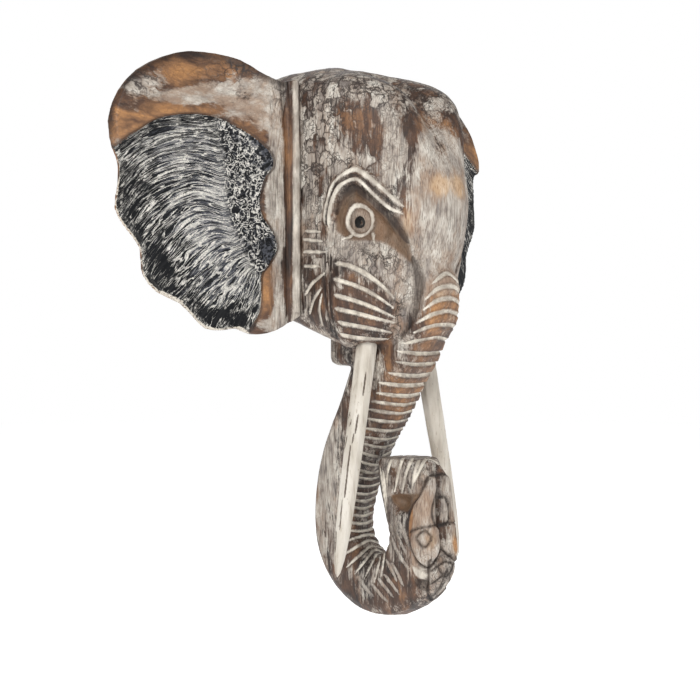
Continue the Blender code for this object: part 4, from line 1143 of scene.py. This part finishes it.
@dataclass
class Head:
    """Skull, trunk and jaw, carved from one block."""

    node: str = "head"
    voxel: float = 1.2 * MM
    limit: int = 192000
    ring: Knife = Knife(4.4 * MM, 2.2 * MM, 15 * MM, 0.0)
    close_ring: Knife = Knife(3.1 * MM, 1.7 * MM, 12 * MM, 0.0)
    fan: Knife = Knife(3.0 * MM, 1.7 * MM, 16 * MM, 0.0)
    cheek: Knife = Knife(4.6 * MM, 2.2 * MM, 2.5 * MM, 26 * MM)
    short: Knife = Knife(3.2 * MM, 1.5 * MM, 3 * MM, 9 * MM)
    fold: Knife = Knife(3.4 * MM, 1.6 * MM, 2 * MM, 14 * MM)
    brow_band: Knife = Knife(17 * MM, 2.6 * MM, 10 * MM, 14 * MM)
    brow: Knife = Knife(3.7 * MM, 1.2 * MM, 6 * MM, 12 * MM)
    crease: Knife = Knife(9 * MM, 1.8 * MM, 12 * MM, 22 * MM)
    outline: Knife = Knife(2.4 * MM, 1.8 * MM, 3 * MM, 3 * MM)
    fine: Knife = Knife(2.0 * MM, 0.9 * MM, 2 * MM, 2 * MM)
    stroke: Knife = Knife(4.0 * MM, 0.3 * MM, 6 * MM, 10 * MM)
    dome: tuple[float, float, float] = (0.050, 0.122, 0.026)
    dome_reach: tuple[float, float, float] = (0.030, 0.046, 0.044)
    dome_swell: float = 9.5 * MM
    dome_rise: float = 0.60
    dip_reach: float = 14 * MM
    dip_depth: float = 4.5 * MM
    under_brow: Knife = Knife(9 * MM, 2.2 * MM, 12 * MM, 18 * MM)
    brow_gap: Knife = Knife(2.4 * MM, 0.8 * MM, 6 * MM, 12 * MM)
    wide_rings: int = 9
    ring_sag: float = 1.2
    fold_depth: float = 5.0 * MM
    socket_depth: float = 6.0 * MM
    barrel_height: float = 2.8 * MM
    side_depth: float = 1.8 * MM
    eye: tuple[float, float] = (359.3, 221.0)
    eye_radii: tuple[float, float] = (11.6, 13.4)
    eye_lean: float = 0.16
    eye_ring: float = 2.3
    ball_height: float = 2.2 * MM
    rim_height: float = 1.7 * MM
    pupil: tuple[float, float, float] = (358.4, 221.8, 2.7)
    pupil_depth: float = 5.0 * MM
    far_tip: tuple[float, float, float, float] = (456.0, 546.0, 5.0, 9.0)
    washed: float = 0.50
    warmed: float = 0.26
    crackled: float = 0.42
    crown_crackle: float = 0.40
    rough_height: float = 0.25 * MM
    fine_height: float = 0.14 * MM
    carving: Carving = field(init=False)

    def soften(self, piece: Piece) -> None:
        """Smooth the faceted block, most on the skull and least at the tip."""
        spots = positions(piece)
        height = spots[:, 2]
        depth = -spots[:, 1]
        front = smoothstep(0.176, 0.186, depth) * (1 - smoothstep(-0.150, -0.115, height))
        skull = smoothstep(-0.215, -0.170, height) * (1 - front)
        wall = smoothstep(0.004, 0.012, depth)
        weight_group(piece, "skull", skull * wall)
        weight_group(piece, "carved", wall)
        apply_modifier(piece, "SMOOTH", factor=0.5, iterations=14, vertex_group="carved")
        apply_modifier(piece, "SMOOTH", factor=0.5, iterations=60, vertex_group="skull")
        piece.vertex_groups.clear()

    def swell_domes(self, piece: Piece) -> None:
        """Push out the two domes of the skull and press in a dip between them."""
        spots = positions(piece)
        away = np.column_stack((np.abs(spots[:, 0]), -spots[:, 1], spots[:, 2])) - np.array(self.dome)
        weight = np.exp(-np.sum((away / np.array(self.dome_reach)) ** 2, axis=1))
        weight *= smoothstep(0.080, 0.104, -spots[:, 1])
        sides = np.clip(spots[:, 0] / 0.012, -1, 1)
        push = self.dome_swell * weight * math.sqrt(0.5)
        spots[:, 0] += push * sides
        spots[:, 1] -= push
        spots[:, 2] += self.dome_rise * push
        between = np.exp(-((spots[:, 0] / self.dip_reach) ** 2))
        between *= smoothstep(0.045, 0.075, -spots[:, 1]) * smoothstep(-0.05, 0.02, spots[:, 2])
        spots[:, 2] -= self.dip_depth * between
        spots[:, 1] += 0.6 * self.dip_depth * between
        piece.data.vertices.foreach_set("co", spots.ravel())
        piece.data.update()

    def carve_trunk(self) -> None:
        """Cut the rings, the fan inside the curl and the folded tip."""
        carving = self.carving
        for chevron in CHEVRONS:
            carving.cut(carving.wrap(carving.trace(chevron)), self.ring)
        for count, (tip, end) in enumerate(zip(RING_TIPS, RING_ENDS)):
            sag = ((tip[0] + end[0]) / 2, (tip[1] + end[1]) / 2 + self.ring_sag)
            knife = self.ring if count < self.wide_rings else self.close_ring
            carving.cut(carving.wrap(carving.trace((tip, sag, end))), knife)
        for tip, end in zip(FAN_TIPS, FAN_ENDS):
            carving.cut(carving.wrap(carving.trace((tip, end))), self.fan)
        carving.cut_lines(FOLD_CUTS, self.fold)
        carving.cut_lines(STROKES, self.stroke, "stroke")
        carving.lift -= self.fold_depth * carving.inside(FOLD_HOLLOW, 10.0)
        carving.mask("smooth")[:] += carving.inside(FOLD_HOLLOW, 3.0)

    def carve_tip(self) -> None:
        """Carve the two lobes, the leaf, the wedge and the block below them."""
        carving = self.carving
        for outline, soft, height in TIP_RELIEF:
            carving.lift += height * MM * carving.inside(outline, soft)
        # The outlines go in the line mask, which is painted as shade.
        carving.cut_lines((LOBE + LOBE[:1], FAR_LOBE, TIP_BLOCK), self.outline, "line", 1.0)
        carving.cut_lines((ALMOND + ALMOND[:1], LOBE_LINE, *BLOCK_CRACKS), self.fine, "line", 1.0)
        pale = np.maximum(carving.inside(LEAF, 1.5), carving.inside(WEDGE, 2.0))
        cut = carving.mask("cut")
        cut[:] = np.maximum(cut, 0.75 * pale)
        # Painted shade in the gap under the near lobe.
        carving.mask("shade")[:] += carving.inside(GAP, 2.0)

    def carve_face(self) -> None:
        """Shape the brow, eye, socket and cheek on both sides."""
        carving = self.carving
        carving.lift -= self.socket_depth * carving.inside(SOCKET, 15.0)
        carving.mask("smooth")[:] += carving.inside(SOCKET, 4.0)
        carving.lift += self.barrel_height * carving.inside(BARREL, 7.0)
        carving.lift -= self.side_depth * carving.inside(SIDE_HOLLOW, 8.0)
        # The crease and the band under the brow go in the groove mask, which is painted as shade.
        carving.cut_lines((CREASE,), self.crease, "groove")
        carving.cut_lines((UNDER_BROW,), self.under_brow, "groove")
        middle = tuple(tuple((a + b) / 2 for a, b in zip(*pair)) for pair in zip(*BROWS))
        carving.ridge(carving.trace(middle), self.brow_band, "")
        for line in BROWS:
            carving.ridge(carving.trace(line), self.brow)
        carving.cut_lines((middle,), self.brow_gap, "line")
        carving.cut_lines(CHEEK_CUTS, self.cheek)
        carving.cut_lines(SIDE_CUTS, self.short)
        carving.cut_lines(FACE_CREASES, self.fine, "line")
        self.carve_eye()

    def carve_eye(self) -> None:
        """Raise the eyeball and its rim, drill the pupil, and mark painted shade round the rim and in the
        pupil.
        """
        carving = self.carving
        shown = smoothstep(0.1, 0.3, carving.facing)
        across = carving.seen[:, 0] - self.eye[0]
        down = carving.seen[:, 1] - self.eye[1]
        lean = across - self.eye_lean * down
        radius = np.sqrt((lean / self.eye_radii[0]) ** 2 + (down / self.eye_radii[1]) ** 2)
        angle = np.arctan2(down, lean)
        wobble = 1 + 0.035 * np.sin(2 * angle + 0.7) + 0.02 * np.sin(5 * angle + 2.0)
        ball = np.clip(1 - (radius / 0.9) ** 2, 0, 1)
        carving.lift += self.ball_height * np.sqrt(ball) * shown
        rim = np.abs(radius * wobble - 1) * (self.eye_radii[0] + self.eye_radii[1]) / 2
        crown = np.clip(1 - (rim / self.eye_ring) ** 2, 0, 1)
        carving.lift += self.rim_height * np.sqrt(crown) * shown
        cut = carving.mask("cut")
        cut[:] = np.maximum(cut, 0.85 * smoothstep(0.15, 0.6, crown) * shown)
        carving.mask("wash")[:] += 0.5 * smoothstep(0.0, 0.5, ball) * shown
        carving.mask("smooth")[:] -= 0.35 * smoothstep(0.0, 0.5, ball) * shown
        x, y, size = self.pupil
        gap = np.hypot(carving.seen[:, 0] - x, (carving.seen[:, 1] - y) * 0.8)
        hole = (1 - smoothstep(size * 0.8, size * 1.3, gap)) * shown
        carving.lift -= self.pupil_depth * hole
        # The hole mask paints the drilled pupil near-black as shade.
        carving.mask("hole")[:] = (1 - smoothstep(size, size * 1.5, gap)) * shown
        # Painted shade: a dark ring just outside the raised eye rim, kept in the rim mask.
        edge = np.exp(-(((rim - self.eye_ring * 1.2) / 1.2) ** 2))
        carving.mask("rim")[:] += 0.8 * edge * shown

    def weather(self) -> None:
        """Lay out where the wood is washed, warm and crackled, and where shade is painted."""
        carving = self.carving
        spots = carving.folded
        height = spots[:, 2]
        wash = carving.mask("wash")
        warm = carving.mask("warm")
        crackle = carving.mask("crackle")
        shade = carving.mask("shade")
        wash += self.washed
        warm += self.warmed
        crackle += self.crackled + self.crown_crackle * smoothstep(-0.03, 0.03, height)
        crackle += 0.22 * soft_noise(spots, (26 * MM,) * 3, 14)
        crackle += 0.15 * carving.inside(TIP_BLOCK, 4.0) - 0.25 * carving.inside(LOBE, 4.0)
        carving.dab_all(HEAD_DABS)
        rough = soft_noise(spots, (9 * MM, 9 * MM, 30 * MM), 4)
        carving.lift += self.rough_height * rough
        carving.lift += self.fine_height * soft_noise(spots, (3 * MM, 3 * MM, 16 * MM), 9)
        wash += 0.55 * carving.mask("stroke")
        # Painted shade in the grooves, in the fine lines and just outside the cut edges.
        shade += 0.95 * carving.mask("groove") + 0.85 * carving.mask("line") + 0.62 * carving.mask("rim")
        across, down = VIEW.project(carving.base).T
        x, y, wide, high = self.far_tip
        tip = np.exp(-(((across - x) / wide) ** 2) - ((down - y) / high) ** 2)
        tip *= smoothstep(0.0, 4 * MM, carving.base[:, 0])
        warm += 1.3 * tip
        wash -= 1.2 * tip
        wash -= 0.35 * smoothstep(0.5, 0.95, carving.normals[:, 1])
        for name in ("groove", "line", "rim", "stroke"):
            del carving.masks[name]

    def build(self) -> Piece:
        """Carve and dress the head.

        Returns:
            The finished piece.
        """
        piece = working_copy(self.node, "carved_head", self.voxel)
        self.soften(piece)
        self.swell_domes(piece)
        self.carving = Carving(piece)
        self.carve_face()
        self.carve_trunk()
        self.carve_tip()
        self.weather()
        self.carving.finish(self.limit)
        piece.data.materials.append(HeadFinish().make())
        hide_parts(self.node)
        return piece


FIELD_EDGE: Places = (
    (112.6, 146.7), (139.3, 129), (159.1, 118.1), (186.7, 113.5), (214.4, 116.1), (234.2, 124),
    (253.9, 135.9), (269.8, 150.7), (274.7, 164.5), (266.8, 176.4), (260.9, 194.2), (261.9, 213.9),
    (271.7, 229.8), (277.7, 247.6), (269.8, 263.4), (261.9, 275.2), (261.9, 293), (259.9, 312.8),
    (250, 331), (248, 352), (80, 352), (80, 165), (100, 155),
)
EAR_CREST: Places = (
    (111, 138), (110, 118), (114, 101), (124, 86), (140, 71), (162, 59),
    (188, 54.5), (214, 57), (240, 64.5), (262, 74.5), (283, 84),
)
CURL_ZONE: Places = (
    (210.5, 112), (218.4, 150.7), (221.3, 178.4), (222.3, 204.1), (230.2, 229.8), (240.1, 249.5),
    (250, 271.3), (261.9, 279.2), (290, 276), (290, 112),
)
ARCS: tuple[Places, ...] = (
    ((214, 113), (169, 113), (143.2, 122), (104.5, 146.8)),
    ((214.5, 126), (171, 124), (145.2, 134), (104.5, 162.8)),
    ((218.4, 144.8), (202.6, 140.8), (174.9, 142.8), (155.1, 149.7), (139.3, 158.6), (112.5, 186.4)),
    ((219.5, 163.6), (190.7, 156.6), (169, 158.6), (149.2, 166.5), (133.4, 182.3), (113.5, 208.1)),
    ((221.4, 178.4), (198.6, 171.5), (174.9, 176.4), (155.1, 184.3), (139.3, 198.1), (121.4, 223.9)),
    ((223.3, 198.1), (198.6, 192.2), (178.8, 198.1), (159.1, 212), (141.3, 229.8), (129.3, 249.7)),
    ((227.3, 217.9), (202.6, 210), (182.8, 217.9), (165, 233.7), (151.2, 251.5), (137.3, 272.4)),
    ((232.2, 235.7), (214.4, 232.7), (190.7, 245.6), (174.9, 263.4), (159.1, 281.2), (146.1, 300.1)),
    ((239.1, 248.5), (222.3, 257.4), (206.5, 273.2), (190.7, 289.1), (170.8, 311.9)),
    ((246, 265.3), (234.2, 277.2), (218.4, 293), (202.6, 310.8), (188.6, 331.7)),
    ((253, 275.2), (244.1, 293), (234.2, 308.8), (221.3, 336.6)),
    ((262, 275.2), (256.9, 297), (250, 316.7), (241.1, 340.6)),
    ((272, 276), (268, 300), (262, 322), (254, 345)),
)
EAR_DABS: Dabs = {
    "wash": (
        (189, 96, 30, 8, 1.15), (240, 108, 22, 14, 0.5), (215, 86, 26, 7, 0.3), (252, 80, 28, 9, 0.34),
        (142, 82, 18, 12, 0.75), (132, 106, 8, 9, 0.3), (264, 108, 12, 30, 0.52), (272, 196, 8, 36, 0.5),
        (268, 250, 5, 15, -0.55), (266, 300, 6, 14, -0.6), (279, 200, 2.5, 24, -0.35),
        (284, 268, 2.5, 34, -0.35), (116, 142, 10, 8, 0.34), (279, 220, 6, 90, 0.3),
        (268, 322, 16, 10, 0.42), (205, 64, 34, 6, -0.2), (262, 245, 6, 30, -0.2),
        (288, 150, 3.4, 70, -0.9), (289, 270, 3, 50, -0.5),
    ),
    "warm": (
        (272, 196, 8, 36, -0.3), (272, 262, 10, 50, 0.35), (200, 97, 34, 9, -0.45), (250, 95, 22, 20, -0.4),
        (138, 84, 16, 11, -0.5), (195, 72, 30, 10, 0.25), (118, 124, 8, 18, 0.25), (185, 112, 40, 5, 0.2),
        (228, 100, 16, 8, 0.22), (288, 150, 4, 60, 0.45), (266, 300, 8, 20, 0.2), (270, 270, 8, 30, 0.1),
    ),
    "crackle": (
        (140, 80, 22, 14, 0.95), (240, 70, 34, 12, 0.85), (112, 110, 6, 30, 0.4), (280, 95, 10, 14, 0.6),
    ),
    "shade": (
        (272, 190, 4, 40, 0.2), (289, 200, 3, 130, 0.35), (170, 54, 60, 5, 0.7), (121, 71, 12, 16, 0.6),
        (108, 112, 4, 28, 0.5), (262, 185, 6, 20, 0.25), (150, 94, 14, 5, 0.35), (283, 98, 3, 18, 0.6),
        (268, 262, 8, 24, 0.22), (255, 64, 26, 6, 0.6), (148, 108, 26, 4, 0.3), (303, 200, 2, 140, 0.5),
    ),
    "dry": (
        (225, 215, 40, 60, 0.75), (180, 150, 40, 16, 0.45), (225, 290, 22, 26, 0.4),
        (132, 190, 18, 44, -1.2), (160, 280, 26, 40, -1.15), (236, 316, 18, 16, -1.15),
        (205, 316, 22, 12, -0.85), (266, 158, 9, 12, -1.3), (268, 250, 9, 12, -0.9),
        (238, 135, 14, 8, -0.5), (236, 205, 12, 30, 0.5), (200, 240, 20, 20, 0.2),
    ),
}


@dataclass
class Ear:
    """Ear board with a warm rim, a bead at the joint and a sunk black field."""

    side: Side
    voxel: float = 1.0 * MM
    limit: int = 190000
    recess: float = 2.6 * MM
    ridge_height: float = 0.9 * MM
    ridge_count: int = 46
    curl_height: float = 1.1 * MM
    curl_size: float = 6.5 * MM
    small_curl_size: float = 3.6 * MM
    field_edge: Knife = Knife(3.0 * MM, 0.7 * MM, 0.0, 0.0)
    crest_width: float = 4.5 * MM
    washed: float = 0.20
    warmed: float = 0.66
    crackled: float = 0.22
    rough_height: float = 0.18 * MM
    carving: Carving = field(init=False)
    flow_map: Array = field(init=False)

    @property
    def node(self) -> str:
        """Name of the ear's solid."""
        return f"{self.side.name.lower()}_ear"

    def flow(self, wanted: Array) -> tuple[Array, Array]:
        """Place vertices in the fan of flutes.

        Args:
            wanted: Index of each vertex to place.

        Returns:
            Share along the flutes and share across them.
        """
        rows = [np.array(arc, float) for arc in ARCS]
        even = []
        for row in rows:
            dense = resample(row, 1.0)
            at = np.linspace(0, len(dense) - 1, 48)
            steps = np.arange(len(dense))
            even.append(np.column_stack([np.interp(at, steps, dense[:, k]) for k in range(2)]))
        grid = np.array(even)
        between = np.linspace(0, len(rows) - 1, 220)
        tree = KDTree(len(between) * grid.shape[1])
        labels = []
        for place in between:
            low = min(int(place), len(rows) - 2)
            line = grid[low] + (grid[low + 1] - grid[low]) * (place - low)
            for k, spot in enumerate(line):
                tree.insert((spot[0], spot[1], 0.0), len(labels))
                labels.append((k / (len(line) - 1), place / (len(rows) - 1), spot))
        tree.balance()
        along = np.zeros(len(wanted))
        across = np.zeros(len(wanted))
        spots = self.carving.seen[wanted]
        for i, (x, y) in enumerate(spots):
            found = tree.find_n((x, y, 0.0), 3)
            weights = [1 / (distance + 0.15) for _, _, distance in found]
            total = sum(weights)
            along[i] = sum(w * labels[f[1]][0] for w, f in zip(weights, found)) / total
            across[i] = sum(w * labels[f[1]][1] for w, f in zip(weights, found)) / total
        return along, across

    def carve(self) -> None:
        """Sink the field, raise its ridges and curls, and mark the rim."""
        carving = self.carving
        front = smoothstep(0.35, 0.7, carving.facing)
        inner = carving.inside(FIELD_EDGE, 3.0, 0.2)
        carving.lift -= self.recess * inner
        field_mask = carving.mask("field")
        field_mask += carving.inside(FIELD_EDGE, 1.6, 0.2)
        curl_zone = carving.inside(CURL_ZONE, 9.0, 0.2) * (inner > 0.01)
        carving.mask("curl")[:] = curl_zone
        wanted = np.flatnonzero(inner > 0.01)
        along, across = self.flow(wanted)
        spots = carving.folded[wanted]
        drift = soft_noise(np.column_stack((along * 3, across * 9, across * 0)), (1, 1, 1), 3)
        phase = across * self.ridge_count + 0.35 * drift
        share = np.abs(2 * (phase - np.floor(phase)) - 1)
        place = np.column_stack((along * 6, np.floor(phase), across * 0))
        swell = 0.65 + 0.35 * soft_noise(place, (1, 1, 1), 5)
        ridge = (1 - share ** 1.6) * swell
        hush = 1 - curl_zone[wanted]
        carving.lift[wanted] += self.ridge_height * (ridge - 0.4) * hush * inner[wanted]
        swirl = soft_noise(spots, (self.curl_size,) * 3, 21)
        swirl += 0.55 * soft_noise(spots, (self.small_curl_size,) * 3, 22)
        worm = 1 - np.abs(np.sin(swirl * 6.0))
        carving.lift[wanted] += self.curl_height * (worm - 0.5) * curl_zone[wanted] * 1.3
        carving.mask("ridge")[wanted] = ridge * hush + worm * curl_zone[wanted]
        carving.cut_lines((FIELD_EDGE[:19],), self.field_edge, "line")
        flat = np.zeros((len(carving.base), 2))
        flat[wanted] = np.column_stack((along, across))
        self.flow_map = flat
        self.wear(front, inner)

    def wear(self, front: Array, inner: Array) -> None:
        """Lay out the rim's warm wood, scuffs, the pale wavy edge and the painted shade along the top edge
        and in the grooves.
        """
        carving = self.carving
        wash = carving.mask("wash")
        warm = carving.mask("warm")
        shade = carving.mask("shade")
        crackle = carving.mask("crackle")
        edge = carving.mask("edge")
        wash += self.washed
        warm += self.warmed
        seen = carving.seen
        joint = smoothstep(262, 276, seen[:, 0])
        carving.mask("joint")[:] = joint
        joint = joint * smoothstep(-0.3, 0.1, carving.facing)
        low = smoothstep(120, 200, seen[:, 1])
        warm -= 0.40 * joint + 0.10 * low
        wash += 0.34 * joint
        crackle += self.crackled
        carving.dab_all(EAR_DABS)
        # Painted shade in a band along the ear's top edge.
        index, distance = carving.along(carving.trace(EAR_CREST), 16 * MM)[:2]
        patchy = 0.75 + 0.45 * soft_noise(carving.folded[index], (12 * MM,) * 3, 33)
        shade[index] += 0.95 * patchy * np.exp(-((distance / self.crest_width) ** 2))
        bead = smoothstep(292.2, 293.8, seen[:, 0]) * front
        carving.mask("cut")[:] = 0.62 * bead
        # Painted shade in the groove round the field and just outside the cut edges.
        shade += 0.9 * carving.mask("line") + 0.35 * carving.mask("rim") * (1 - inner)
        for name in ("line", "rim"):
            del carving.masks[name]
        # Pale edge: faces that turn partly away from the viewpoint, below the top of the ear and away from
        # the joint.
        rimmed = smoothstep(150, 165, seen[:, 1]) * (1 - smoothstep(240, 262, seen[:, 0]))
        turned = (1 - smoothstep(0.22, 0.50, carving.facing)) * smoothstep(0.0, 0.2, carving.facing)
        edge += rimmed * turned
        spots = carving.folded
        carving.lift += self.rough_height * soft_noise(spots, (14 * MM,) * 3, 31) * (1 - inner)

    def build(self) -> Piece:
        """Carve and dress one ear.

        Returns:
            The finished piece.
        """
        piece = working_copy(self.node, f"carved_{self.node}", self.voxel)
        spots = positions(piece)
        soft = smoothstep(0.0870, 0.0900, np.abs(spots[:, 0]))
        weight_group(piece, "board", soft)
        apply_modifier(piece, "SMOOTH", factor=0.5, iterations=3)
        apply_modifier(piece, "SMOOTH", factor=0.5, iterations=26, vertex_group="board")
        piece.vertex_groups.clear()
        self.carving = Carving(piece)
        self.carve()
        layer = piece.data.uv_layers.new(name="flow")
        corners = np.empty(len(piece.data.loops), np.int32)
        piece.data.loops.foreach_get("vertex_index", corners)
        layer.data.foreach_set("uv", self.flow_map[corners].astype(np.float32).ravel())
        self.carving.finish(self.limit)
        piece.data.materials.append(MATERIALS["ear"])
        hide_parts(self.node)
        return piece


SPLITS: tuple[Places, ...] = (
    ((349.8, 412.3), (345.1, 428)), ((358.1, 414.2), (355.3, 433.6)),
    ((347, 435.4), (343.5, 453), (340.5, 470.6), (337.7, 505.7), (335.5, 516.8)),
    ((353.8, 433.6), (352.2, 443.8)), ((351.6, 418.8), (349.8, 426.2)),
    ((350.5, 445), (347.5, 470), (344.5, 498)), ((342, 500), (339.5, 530)),
    ((366, 372), (363, 396)), ((336, 530), (335, 552)),
)


@dataclass
class Tusk:
    """Long faceted tusk let into the cheek."""

    side: Side
    voxel: float = 0.8 * MM
    split: Knife = Knife(1.9 * MM, 0.9 * MM, 5 * MM, 5 * MM)
    rough_height: float = 0.16 * MM

    @property
    def node(self) -> str:
        """Name of the tusk's solid."""
        return f"{self.side.name.lower()}_tusk"

    def build(self) -> Piece:
        """Carve and dress one tusk.

        Returns:
            The finished piece.
        """
        piece = working_copy(self.node, f"carved_{self.node}", self.voxel)
        apply_modifier(piece, "SMOOTH", factor=0.5, iterations=5)
        carving = Carving(piece)
        carving.cut_lines(SPLITS, self.split, "split")
        carving.lift += self.rough_height * soft_noise(carving.folded, (5 * MM, 5 * MM, 26 * MM), 51)
        carving.finish()
        piece.data.materials.append(MATERIALS["tusk"])
        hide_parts(self.node)
        return piece


# -------------------------------------------------------------------- stage


@dataclass
class Studio:
    """Pale floor, soft lights and the camera."""

    floor_height: float = -0.62
    floor_size: float = 9.0
    floor_glow: float = 0.72
    floor_grey: float = 0.86
    surround_light: float = 0.31
    sensor: float = 36.0
    aim: tuple[float, float, float] = (0.0, -0.08, -0.18)

    def lay_floor(self) -> None:
        """Make the plain pale floor far below the hanging mask."""
        bpy.ops.mesh.primitive_circle_add(
            vertices=96, radius=self.floor_size / 2, fill_type="NGON", location=(0, 0, self.floor_height)
        )
        floor = bpy.context.active_object
        floor.name = "floor"
        bpy.ops.object.transform_apply(location=True, rotation=True, scale=True)
        material = bpy.data.materials.new("pale_floor")
        material.use_nodes = True
        shader = material.node_tree.nodes["Principled BSDF"]
        shader.inputs["Base Color"].default_value = (self.floor_grey, self.floor_grey, self.floor_grey, 1)
        shader.inputs["Roughness"].default_value = 0.9
        shader.inputs["Emission Color"].default_value = (1, 1, 1, 1)
        shader.inputs["Emission Strength"].default_value = self.floor_glow
        floor.data.materials.append(material)

    def light(self, name: str, place: tuple, size: float, power: float, colour: tuple) -> None:
        """Hang one square soft light that looks at the mask."""
        lamp = bpy.data.lights.new(name, "AREA")
        lamp.size = size
        lamp.energy = power
        lamp.color = colour
        holder = bpy.data.objects.new(name, lamp)
        holder.location = place
        aim = Vector(self.aim) - Vector(place)
        holder.rotation_euler = aim.to_track_quat("-Z", "Y").to_euler()
        bpy.context.scene.collection.objects.link(holder)

    def shoot(self) -> None:
        """Set the camera at the viewpoint and a white surround."""
        ahead = VIEW.axes()[2]
        lens = bpy.data.cameras.new("camera")
        lens.sensor_width = self.sensor
        lens.lens = VIEW.steps / (2 * VIEW.middle) * lens.sensor_width
        camera = bpy.data.objects.new("camera", lens)
        camera.location = VIEW.eye
        camera.rotation_euler = Vector(ahead).to_track_quat("-Z", "Y").to_euler()
        scene = bpy.context.scene
        scene.collection.objects.link(camera)
        scene.camera = camera
        scene.view_settings.view_transform = "Standard"
        world = bpy.data.worlds.new("white")
        scene.world = world
        world.use_nodes = True
        nodes = world.node_tree.nodes
        links = world.node_tree.links
        sky = nodes["Background"]
        sky.inputs["Color"].default_value = (1, 1, 1, 1)
        path = nodes.new("ShaderNodeLightPath")
        power = nodes.new("ShaderNodeMapRange")
        power.inputs["To Min"].default_value = self.surround_light
        power.inputs["To Max"].default_value = 1.0
        links.new(path.outputs["Is Camera Ray"], power.inputs["Value"])
        links.new(power.outputs["Result"], sky.inputs["Strength"])

    def build(self) -> None:
        """Set the whole stage."""
        self.lay_floor()
        self.light("key", (-1.6, -1.0, 1.0), 1.0, 30, (1.0, 0.99, 0.97))
        self.light("fill", (0.9, -1.6, 0.2), 1.4, 6, (0.97, 0.985, 1.0))
        self.light("back", (1.2, 1.2, 0.8), 1.2, 8, (1.0, 1.0, 1.0))
        self.shoot()


MATERIALS: dict[str, bpy.types.Material] = {}


def main() -> None:
    """Build the mask, light it and look at it."""
    logging.basicConfig(level=logging.INFO, format="%(message)s")
    MATERIALS["ear"] = EarFinish().make()
    MATERIALS["tusk"] = TuskFinish().make()
    parts = [Head(), Ear(Side.RIGHT), Ear(Side.LEFT), Tusk(Side.RIGHT), Tusk(Side.LEFT)]
    for part in parts:
        piece = part.build()
        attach(piece, BODY)
        piece.data.calc_loop_triangles()
        LOG.info("%s: %d triangles", piece.name, len(piece.data.loop_triangles))
    Studio().build()


if __name__ == "__main__":
    main()
